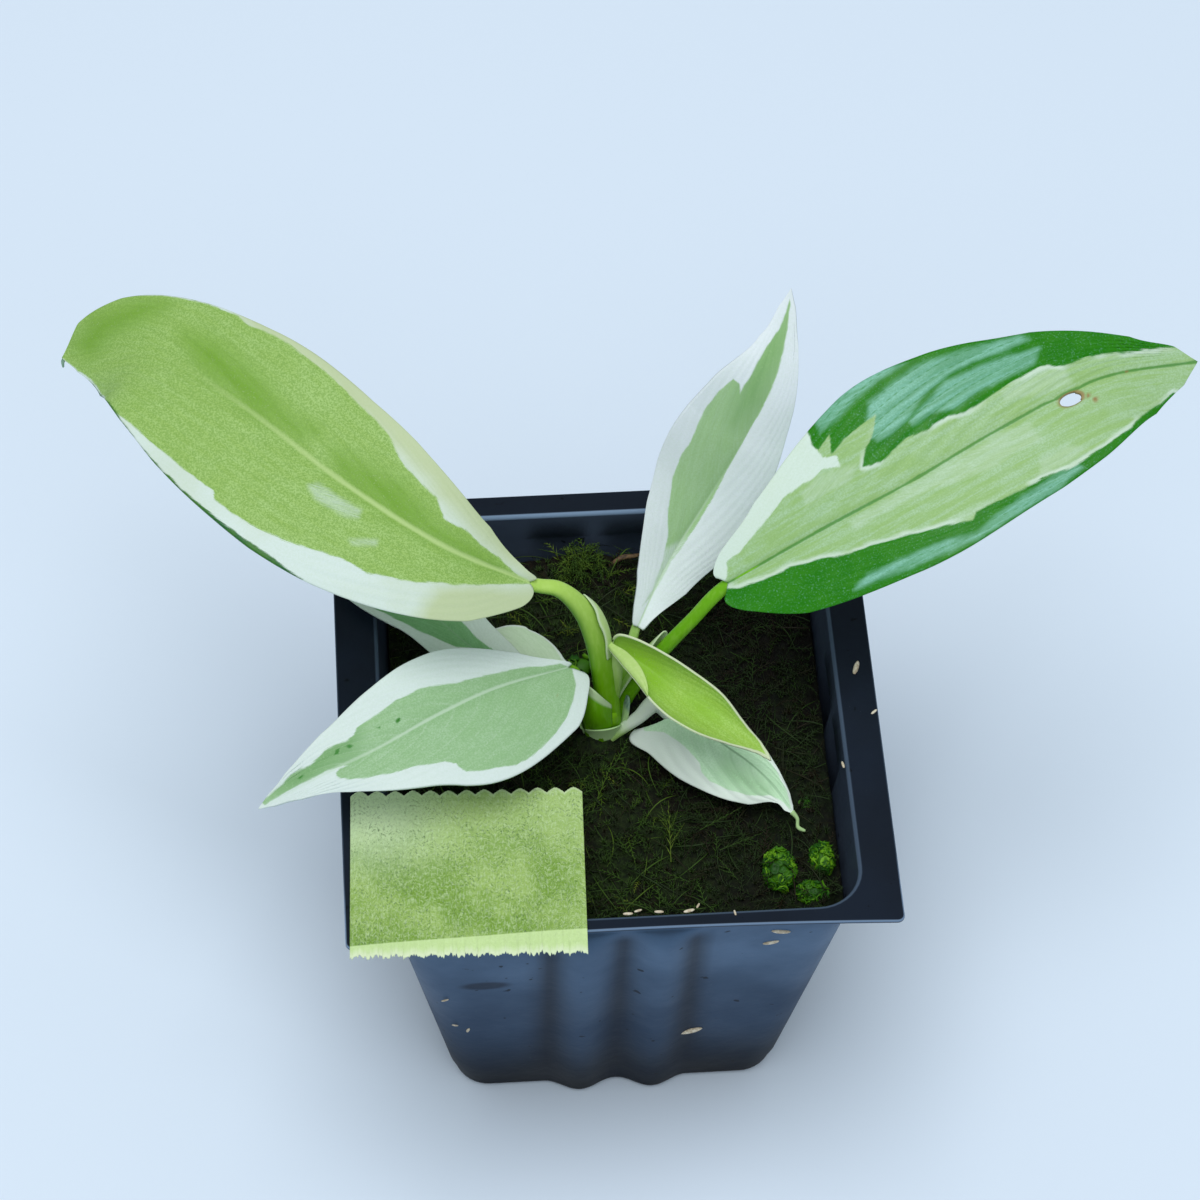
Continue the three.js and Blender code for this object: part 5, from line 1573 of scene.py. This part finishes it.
def small_leaf(mesh, radius, length, spot):
    """A thin three-sided point."""
    bmesh.ops.create_cone(
        mesh, cap_ends=True, cap_tris=False, segments=3, radius1=radius, radius2=0, depth=length,
        matrix=spot)


# The templates of small growths are a unit long, and these sizes are in that unit
FROND_STEM = 0.02
FROND_LEAVES = 10
FROND_LEAF_RADIUS = 0.024
FROND_LEAF_TILT = math.radians(48)
STRAND_RADIUS = 0.014
TURF_LEAVES = 5
TURF_LEAF_RADIUS = 0.09
TURF_LEAN = 0.55


def frond_template():
    """One frond: a thin stem with small leaves to both sides, shorter towards its tip."""
    mesh = bmesh.new()
    small_stem(mesh, 4, lambda share: FROND_STEM * (1 - 0.7 * share))
    for number in range(FROND_LEAVES):
        side = -1 if number % 2 else 1
        share = 0.12 + 0.085 * number
        turn = Matrix.Rotation(side * FROND_LEAF_TILT, 4, "Z") @ Matrix.Rotation(math.pi / 2, 4, "Y")
        half = 0.15 * (1.1 - share)
        spot = Matrix.Translation((share, 0, 0)) @ turn @ Matrix.Translation((0, 0, half))
        small_leaf(mesh, FROND_LEAF_RADIUS, 2 * half, spot)
    return template_of("frond", mesh)


def strand_template():
    """One long thin strand, pointed at both ends."""
    mesh = bmesh.new()
    small_stem(mesh, 7, lambda share: STRAND_RADIUS * math.sin(math.pi * (0.08 + 0.9 * share)))
    return template_of("strand", mesh)


def turf_template():
    """A tiny tuft: pointed leaves that lean outwards from one foot."""
    mesh = bmesh.new()
    for number in range(TURF_LEAVES):
        turn = Matrix.Rotation(2 * math.pi * number / TURF_LEAVES, 4, "Z")
        lean = Matrix.Rotation(TURF_LEAN, 4, "Y")
        small_leaf(mesh, TURF_LEAF_RADIUS, 1, turn @ lean @ Matrix.Translation((0, 0, 0.45)))
    return template_of("turf", mesh)


def lobe_template():
    """One rounded lobe of liverwort, hollow like a spoon."""
    mesh = bmesh.new()
    for corner in bmesh.ops.create_grid(mesh, x_segments=4, y_segments=3, size=1)["verts"]:
        x, y = corner.co.x, corner.co.y
        swell = math.sqrt(max(0.02, 1 - 0.8 * x * x))
        corner.co = Vector((0.5 * x, 0.42 * y * swell, 0.22 * (x * x + y * y) - 0.12 * abs(y)))
    bmesh.ops.solidify(mesh, geom=mesh.faces[:], thickness=0.08)
    return template_of("lobe", mesh)


# Moss keeps this far from the crown's middle, and this far inside the pot's wall
CLEAR_OF_CROWN = 5
CLEAR_OF_WALL = 0.3
# The part of the half side that moss grows on
MOSS_REACH = 0.97
MOSS_LIFT = 0.15
# To the right the moss lies in shade: where that starts, over what stretch, and how dark it gets
SHADE_FROM = 4
SHADE_STRETCH = 18
SHADED_SHARE = 0.6


def moss_spots(count, chance):
    """Places on the medium that are clear of the crown."""
    spots = []
    while len(spots) < count:
        across, back = (chance.uniform(-MOSS_REACH, MOSS_REACH) for _ in range(2))
        x, y = rounded(across, back, MEDIUM_EDGE)
        if math.hypot(x - CROWN_PLACE[0], y - CROWN_PLACE[1]) > CLEAR_OF_CROWN:
            spots.append((x, y))
    return spots


def spots_round(middle, reach, count, chance):
    """Places gathered round a middle."""
    return [(chance.gauss(middle[0], reach), chance.gauss(middle[1], reach)) for _ in range(count)]


def scatter(template, spots, chance, length, rise=(0, 0), bend=1.3, tint=(0, 1)):
    """Bent copies of a template on the medium, one at each spot, kept inside the pot's wall."""
    mesh = bmesh.new()
    for _ in spots:
        mesh.from_mesh(template)
    count = len(spots)

    def pick(low, high):
        return np.array([[chance.uniform(low, high)] for _ in range(count)])

    local = np.array([corner.co for corner in mesh.verts]).reshape(count, -1, 3)
    share, side, up = local[:, :, 0], local[:, :, 1], local[:, :, 2]
    size, heading, swing = pick(*length), pick(-math.pi, math.pi), pick(-bend, bend) * share
    along = size * (share * np.cos(swing / 2) - side * np.sin(swing))
    across = size * (share * np.sin(swing / 2) + side * np.cos(swing))
    foot = np.array([[x, y, medium_height(x, y)] for x, y in spots])[:, None, :]
    half, centre, _ = medium_ring_sizes(MEDIUM_EDGE)
    x = foot[:, :, 0] + along * np.cos(heading) - across * np.sin(heading)
    y = foot[:, :, 1] + along * np.sin(heading) + across * np.cos(heading)
    z = foot[:, :, 2] + MOSS_LIFT + pick(*rise) * np.sin(np.pi * share * 0.85) + up * size
    reach = [side - CLEAR_OF_WALL for side in half]
    x = np.clip(x, centre[0] - reach[0], centre[0] + reach[0])
    y = np.clip(y, centre[1] - reach[1], centre[1] + reach[1])
    for corner, spot in zip(mesh.verts, np.stack([x, y, z], axis=2).reshape(-1, 3) * MM):
        corner.co = spot
    dim = mix(1, SHADED_SHARE, smooth((foot[:, 0, 0] - SHADE_FROM) / SHADE_STRETCH))
    keep_values(mesh, "tint", np.repeat(pick(*tint)[:, 0] * dim, local.shape[1]))
    return mesh


# Larger sprigs that stand out of the moss: the pixels where each starts and ends, and its tint
SPRIGS = [
    ((592, 812), (616, 754), 0.9), ((604, 790), (590, 762), 0.8), ((576, 772), (588, 748), 0.7),
    ((671, 862), (668, 806), 0.97), ((669, 836), (678, 812), 0.95), ((668, 828), (660, 806), 0.95),
    ((648, 826), (690, 838), 0.7), ((700, 830), (742, 812), 0.7), ((720, 850), (764, 838), 0.65),
    ((630, 856), (612, 830), 0.7), ((738, 880), (716, 858), 0.8), ((690, 882), (652, 870), 0.75),
    ((730, 652), (762, 672), 0.6), ((700, 690), (742, 676), 0.6), ((748, 700), (776, 686), 0.55),
    ((410, 610), (436, 590), 0.7), ((560, 620), (574, 640), 0.98), ((566, 600), (580, 618), 0.95),
    ((600, 560), (566, 572), 0.6), ((480, 560), (520, 548), 0.55), ((640, 560), (612, 548), 0.65),
]
SPRIG_HEIGHT = MEDIUM_TOP + 1.6
# Where along a sprig its side fronds start, how much shorter they are, and how far they turn off
SIDE_FRONDS = (0.3, 0.55)
SIDE_FROND_SHARE = 0.6
SIDE_FROND_TURN = 0.6
SPRIG_WIDTH_SHARE = 0.42
SPRIG_DEPTH_MM = 5


def lay_sprigs(frond, chance):
    """Fronds laid between pairs of pixels, each with a few side fronds."""
    mesh = bmesh.new()
    tints = []
    for start, end, tint in SPRIGS:
        foot, tip = (Vector(seen_on(pixel, (0, 0, SPRIG_HEIGHT), (0, 0, 1))) for pixel in (start, end))
        for share in (0, *SIDE_FRONDS):
            lead = (tip - foot) * (1 - share) * (SIDE_FROND_SHARE if share else 1)
            length = lead.length
            aside = chance.choice((-SIDE_FROND_TURN, SIDE_FROND_TURN)) if share else 0
            heading = math.atan2(lead.y, lead.x) + aside
            place = Matrix.Translation((foot + (tip - foot) * share) * MM)
            turn = Matrix.Rotation(heading, 4, "Z") @ Matrix.Rotation(chance.uniform(-0.25, 0.02), 4, "Y")
            size = Matrix.Diagonal((length * MM, length * SPRIG_WIDTH_SHARE * MM, SPRIG_DEPTH_MM * MM, 1))
            first = len(mesh.verts)
            mesh.from_mesh(frond)
            mesh.verts.ensure_lookup_table()
            bmesh.ops.transform(mesh, matrix=place @ turn @ size, verts=mesh.verts[first:])
            tints += [tint] * (len(mesh.verts) - first)
    keep_values(mesh, "tint", tints)
    return mesh


# Tints from the darkest to the palest growth
MOSS_TINTS = [
    (0, (32, 26, 12)), (0.4, (32, 50, 18)), (0.8, (54, 82, 24)), (0.95, (76, 102, 28)), (1, (106, 122, 38)),
]
LIVERWORT_TINTS = [(0, (14, 44, 5)), (0.4, (30, 80, 6)), (0.8, (66, 120, 6)), (1, (110, 162, 28))]
OLIVE_TUFT = (-2, 32.5)
MOSS_SEED = 11
LIVERWORT_SEED = 5
# How many of each grow over the medium, and how long they get, in millimetres
FRONDS = (1200, (3, 6.5))
STRANDS = (800, (3, 11))
TURF = (3600, (0.7, 1.7))


def make_moss():
    """The moss on the medium: fronds, long strands, short turf, one olive tuft and the larger sprigs."""
    chance = random.Random(MOSS_SEED)
    moss = make_tinted_material("moss", MOSS_TINTS)
    frond, strand, turf = frond_template(), strand_template(), turf_template()

    def over_all(template, count, *shape, **growth):
        return scatter(template, moss_spots(count, chance), chance, *shape, **growth)

    parts = {
        "moss_fronds": over_all(frond, *FRONDS, (0.2, 2)),
        "moss_strands": over_all(strand, *STRANDS, (0.1, 2), tint=(0, 0.97)),
        "moss_turf": over_all(turf, *TURF, bend=0, tint=(0, 0.85)),
        "moss_tuft": scatter(frond, spots_round(OLIVE_TUFT, 1.6, 60, chance), chance, (3, 5), (2, 4.5),
                             tint=(0.75, 0.98)),
        "moss_sprigs": lay_sprigs(frond, chance),
    }
    for name, mesh in parts.items():
        add_piece(name, mesh, [moss], replaces="growing_medium")


# Lumps of liverwort: middle and half sizes, in millimetres, and how many lobes each has
LIVERWORT = [
    ((25.3, -28, 65.6), (2.3, 3.6, 2.4), 90), ((32.2, -26, 65.2), (1.7, 2.6, 2.2), 55),
    ((30, -32.2, 65.2), (2.3, 1.7, 1.6), 45), ((30.3, -15.3, 64.6), (0.9, 0.9, 0.8), 12),
    ((-3.4, 13.6, 64.8), (2.2, 1.8, 1.4), 16), ((-9, 9, 64.4), (2, 1.6, 1), 10),
]
LOBE_SIZE = (1.1, 1.9)
# The rounded core that fills a lump under its lobes, as a share of the lump, and its tint
CORE_SHARE = 0.9
CORE_TINT = 0.6
TWIG = [(2.5, 33.6, 65.2), (4.6, 34.2, 66.6), (6.4, 34.6, 66.4), (8.6, 35.4, 65.8)]
TWIG_RADII = [0.25, 0.42, 0.4, 0.2]


def make_liverwort():
    """Bright green lumps of small hollow lobes, each facing out of its lump."""
    chance = random.Random(LIVERWORT_SEED)
    lobe = lobe_template()
    mesh = bmesh.new()
    tints = []
    for middle, half, count in LIVERWORT:
        start = len(mesh.verts)
        size = Matrix.Diagonal((*(CORE_SHARE * MM * side for side in half), 1))
        core = Matrix.Translation(Vector(middle) * MM) @ size
        bmesh.ops.create_icosphere(mesh, subdivisions=3, radius=1, matrix=core)
        tints += [CORE_TINT] * (len(mesh.verts) - start)
        for _ in range(count):
            outward = Vector((chance.gauss(0, 1), chance.gauss(0, 1), abs(chance.gauss(0, 1)))).normalized()
            spot = Vector(middle) + Vector(a * b for a, b in zip(outward, half))
            turn = outward.to_track_quat("Z", "X").to_matrix().to_4x4()
            spin = Matrix.Rotation(chance.uniform(0, 2 * math.pi), 4, "Z")
            tilt = Matrix.Rotation(chance.uniform(-0.6, 0.6), 4, "X")
            size = Matrix.Scale(chance.uniform(*LOBE_SIZE) * MM, 4)
            start = len(mesh.verts)
            mesh.from_mesh(lobe)
            mesh.verts.ensure_lookup_table()
            grown = mesh.verts[start:]
            place = Matrix.Translation(spot * MM) @ turn @ spin @ tilt @ size
            bmesh.ops.transform(mesh, matrix=place, verts=grown)
            tints += [chance.uniform(0.25, 1)] * len(grown)
    keep_values(mesh, "tint", tints)
    material = make_tinted_material("liverwort", LIVERWORT_TINTS)
    add_piece("liverwort", mesh, [material], replaces="growing_medium")


def make_twig(material):
    mesh, _, _ = grid_mesh(20, 10, tube_place(TWIG, TWIG_RADII))
    close_tube(mesh)
    add_piece("twig", mesh, [material], replaces="growing_medium")


HUSK_THICKNESS_MM = 0.12
# As shares of a husk's length
HUSK_HALF_WIDTH = 0.15
HUSK_RISE = 0.12
# Dry husks that lie on the pot: pixel, the face they lie on, length in millimetres and turn in degrees
HUSKS = [
    ((690, 1030), "wall", 4.2, 25), ((781, 931), "wall", 3, -15), ((771, 942), "wall", 2.6, 20),
    ((628, 914), "flange", 1.5, 0), ((638, 911), "flange", 1.2, 15), ((659, 912), "flange", 1.4, -5),
    ((689, 911), "flange", 1.7, 12), ((698, 906), "flange", 0.9, 60), ((735, 913), "flange", 0.9, 100),
    ((856, 668), "flange", 2.6, 70), ((874, 712), "flange", 1.2, 40), ((843, 765), "flange", 1.2, 100),
    ((445, 1000), "wall", 1.3, 30), ((455, 1025), "wall", 1.1, -30), ((468, 1030), "wall", 1.6, 80),
]


def make_husks(material):
    """Curled cream flakes, each a thin boat lying hollow side down."""
    faces = {
        "wall": (Vector(FRONT_WALL_POINT), Vector(FRONT_WALL_NORMAL).normalized(), 0.0),
        "flange": (Vector((0, 0, POT_HEIGHT)), Vector((0, 0, 1)), 0.05),
    }
    mesh = bmesh.new()
    for pixel, face, length, turn in HUSKS:
        point, normal, lift = faces[face]
        spot = Vector(seen_on(pixel, point, normal)) + normal * lift
        across = normal.cross(Vector((1, 0, 0))).normalized()
        basis = Matrix((across.cross(normal), across, normal)).transposed().to_4x4()
        spin = Matrix.Rotation(math.radians(turn), 4, "Z")
        flake = bmesh.ops.create_grid(mesh, x_segments=10, y_segments=6, size=1)["verts"]
        for corner in flake:
            x, y = corner.co.x, corner.co.y
            swell = math.sqrt(max(0, 1 - 0.92 * x * x))
            corner.co = Vector((
                length / 2 * x,
                length * HUSK_HALF_WIDTH * y * swell,
                length * HUSK_RISE * (1 - y * y) * swell,
            ))
        place = Matrix.Scale(MM, 4) @ Matrix.Translation(spot) @ basis @ spin
        bmesh.ops.transform(mesh, verts=flake, matrix=place)
    thicken(add_piece("husks", mesh, [material]), HUSK_THICKNESS_MM)


TWIG_TONES = ((62, 46, 30), (116, 92, 62))
HUSK_TONES = ((176, 160, 132), (222, 214, 192))


def make_dry_material(name, dark, light):
    """Dry plant matter: fine fibres between two tones."""
    material, tree, shader = new_material(name)
    fibres = noise(tree, object_place(tree), 1500, 4, 0.7)
    finish(tree, shader, over(tree, colour(*dark), (step(tree, fibres, 0.35, 0.65), colour(*light))), 0.7)
    tree.links.new(bump_from(tree, fibres, 0.08), shader.inputs["Normal"])
    return material


# Tape, a blank strip of crepe paper over the rim's front left corner

TAPE_WIDTH = 36.3
TAPE_LENGTH = 29.2
TAPE_CORNER = (-42.4, -44.9)
TAPE_TURN = math.radians(-1.9)
TAPE_TEETH = 13
TAPE_TOOTH_DEPTH = 1
TAPE_THICKNESS_MM = 0.22
TAPE_LIFT = 0.6
# How far the paper strays: the frayed back edge, the torn front edge and what is left of its teeth, the
# crepe's fine ridges, and the sag
FRAY_MM = 0.09
TORN_MM = 0.32
TORN_TOOTH_MM = 0.3
CREPE_MM = 0.025
SAG_MM = 0.12


def tape_place(u, v):
    """u runs from the torn front edge to the toothed back edge, v from left to right."""
    x = (v + 1) / 2 * TAPE_WIDTH
    tooth = np.abs((x / TAPE_WIDTH * TAPE_TEETH) % 1 - 0.5) * 2
    frayed = FRAY_MM * np.sin(29 * x) * np.sin(7.7 * x + 2)
    back = TAPE_LENGTH + TAPE_TOOTH_DEPTH * (1 - tooth**1.5) + frayed
    torn = np.sin(11.3 * x) * np.sin(3.1 * x + 1) + 0.7 * np.sin(23 * x + 2) * np.sin(5.3 * x)
    front = TORN_TOOTH_MM * (1 - 2 * tooth) + TORN_MM * torn
    y = mix(front, back, u)
    crepe = CREPE_MM * np.sin(5.2 * y + 0.7 * np.sin(2.3 * x))
    sag = SAG_MM * np.sin(0.21 * x + 1) * np.sin(0.25 * y)
    z = POT_HEIGHT + TAPE_LIFT + crepe + sag
    turned = (
        TAPE_CORNER[0] + x * math.cos(TAPE_TURN) - y * math.sin(TAPE_TURN),
        TAPE_CORNER[1] + x * math.sin(TAPE_TURN) + y * math.cos(TAPE_TURN),
    )
    return np.stack([*turned, z], axis=1) * MM


def make_tape(material):
    """The strip of paper, with a flat map of its width and length in millimetres."""
    mesh, u, v = grid_mesh(120, 208, tape_place)
    x = (v + 1) / 2 * TAPE_WIDTH
    keep_map(mesh, "paper", np.stack([x, u * TAPE_LENGTH], axis=1))
    tape = add_piece("paper_tape", mesh, [material], replaces="tape")
    thicken(tape, TAPE_THICKNESS_MM)


# The paper's tones, from its ground to its two edges
PAPER = dict(
    deep=(120, 158, 58), lime=(152, 184, 96), back=(176, 206, 122), pale_patch_and_painted_light=(216, 234, 206),
    speck=(62, 96, 58), fibre=(198, 222, 166), cross_fibre=(204, 226, 184), overhang=(212, 238, 172),
    torn=(222, 236, 200), toothed=(214, 232, 190),
)


def make_paper():
    """Lime crepe paper: pale crossing fibres, dark green specks, and lighter where it is past the rim. Its
    back is painted lighter, most at the back left, to lift the shadow of the leaf above it.
    """
    material, tree, shader = new_material("tape_paper")
    paper = node(tree, "ShaderNodeUVMap", uv_map="paper").outputs[0]
    place = node(tree, "ShaderNodeSeparateXYZ", {0: object_place(tree)}).outputs
    spot = node(tree, "ShaderNodeSeparateXYZ", {0: paper}).outputs
    from_left, from_front = spot["X"], spot["Y"]
    fibres = noise(tree, stretched(tree, paper, (0.9, 3.4, 1)), 1.0, 3, 0.75)
    cross_fibres = noise(tree, stretched(tree, paper, (3.4, 0.9, 1)), 1.0, 3, 0.75)
    specks = noise(tree, stretched(tree, paper, (2.4, 2.4, 1)), 1.0, 4, 0.85)
    clouds = noise(tree, stretched(tree, paper, (0.09, 0.12, 1)), 1.0, 3)
    thin = noise(tree, stretched(tree, paper, (0.2, 0.25, 1)), 1.0, 4, 0.6)
    pale_patch_and_painted_light = product(tree, step(tree, from_left, 4, 20, 1, 0.1), step(tree, from_front, 10, 27))
    dirty = product(tree, step(tree, from_left, 2, 13, 1, 0), step(tree, from_front, 3, 15, 1, 0))
    where_specks = sums(tree, "MAXIMUM", step(tree, thin, 0.4, 0.62, 0.35, 1), dirty)
    across = sums(tree, "DIVIDE", place["X"], RIM_SIDE / 2 * MM)
    bow = product(tree, across, across, FRONT_BOW * MM)
    past_rim = sums(tree, "ADD", place["Y"], bow)
    rim = (FRONT_BOW - RIM_SIDE / 2) * MM
    tone = {name: colour(*shown) for name, shown in PAPER.items()}
    base = over(
        tree, tone["deep"],
        (step(tree, clouds, 0.4, 0.6), tone["lime"]),
        # Painted light: lighter towards the back edge, lifting the shadow of the leaf above
        (step(tree, from_front, 15, 27, 0, 0.6), tone["back"]),
        # A paler patch at the back left, strengthened with painted light against the same leaf's shadow
        (product(tree, pale_patch_and_painted_light, 0.6), tone["pale_patch_and_painted_light"]),
        (product(tree, step(tree, specks, 0.5, 0.62), where_specks, 0.9), tone["speck"]),
        (step(tree, fibres, 0.5, 0.62, 0, 0.45), tone["fibre"]),
        (step(tree, cross_fibres, 0.5, 0.62, 0, 0.35), tone["cross_fibre"]),
        (step(tree, past_rim, rim - 0.15 * MM, rim + 0.1 * MM, 0.75, 0), tone["overhang"]),
        # The torn front edge: its paler fibres, with a painted highlight along it
        (step(tree, from_front, 0.2, 1.6, 0.8, 0), tone["torn"]),
        (step(tree, from_front, TAPE_LENGTH - 0.7, TAPE_LENGTH, 0, 0.6), tone["toothed"]),
    )
    finish(tree, shader, base, 0.75, 0.25)
    tree.links.new(bump_from(tree, fibres, 0.1), shader.inputs["Normal"])
    return material


# Floor and light


PALE_FLOOR = (219, 233, 247)
FLOOR_RADIUS = 3
ROOM_COLOUR = (0.86, 0.93, 1, 1)
ROOM_STRENGTH = 0.455
# Square soft lights: place and side in metres, power in watts, and tint
LIGHTS = {
    "overhead": ((-0.12, -0.2, 2), 1.1, 20.5, (1, 1, 1)),
    "front": ((0, -1.1, 1.7), 1.1, 7, (0.95, 0.98, 1)),
}


def make_floor():
    mesh = bmesh.new()
    bmesh.ops.create_circle(mesh, cap_ends=True, segments=64, radius=FLOOR_RADIUS)
    data = bpy.data.meshes.new("floor")
    mesh.to_mesh(data)
    mesh.free()
    material, _, shader = new_material("floor")
    shader.inputs["Base Color"].default_value = colour(*PALE_FLOOR)
    shader.inputs["Roughness"].default_value = 0.7
    data.materials.append(material)
    floor = bpy.data.objects.new("floor", data)
    bpy.context.scene.collection.objects.link(floor)


def make_light(name, place, side, watts, tint):
    """A square soft light that points at the middle of the floor."""
    data = bpy.data.lights.new(name, "AREA")
    data.size = side
    data.energy = watts
    data.color = tint
    light = bpy.data.objects.new(name, data)
    light.location = place
    light.rotation_euler = (-Vector(place)).to_track_quat("-Z", "Y").to_euler()
    bpy.context.scene.collection.objects.link(light)


def make_world():
    world = bpy.data.worlds.new("studio")
    world.use_nodes = True
    background = next(n for n in world.node_tree.nodes if n.type == "BACKGROUND")
    background.inputs["Color"].default_value = ROOM_COLOUR
    background.inputs["Strength"].default_value = ROOM_STRENGTH
    bpy.context.scene.world = world
    bpy.context.scene.view_settings.view_transform = "Standard"


make_camera()
make_floor()
make_world()
for light_name, light_settings in LIGHTS.items():
    make_light(light_name, *light_settings)
make_pot(make_plastic())
make_medium(make_medium_material())
make_moss()
make_liverwort()
make_twig(make_dry_material("twig", *TWIG_TONES))
make_husks(make_dry_material("husk", *HUSK_TONES))
make_tape(make_paper())
fresh = {name: make_stalk_material(name, *tones) for name, tones in FRESH_GREENS.items()}
make_crown(fresh["crown"], fresh["scale_leaf"])
for leaf_name, leaf_shape in LEAVES.items():
    make_blade(leaf_name, leaf_shape)
    make_stalk(leaf_name, leaf_shape, fresh[leaf_shape.get("stalk_finish", "pale_green_stalk")])
    if "drip" in leaf_shape:
        make_drip_tip(leaf_name, leaf_shape, fresh["scale_leaf"])
    if "flap" in leaf_shape:
        make_flap(leaf_name, leaf_shape, fresh["young_fold"])
for leaf_name, sheath_shape in SHEATHS.items():
    make_sheath(leaf_name, sheath_shape, fresh["sheath"])
make_clasp("leaf_front_left", fresh["green_stalk"])
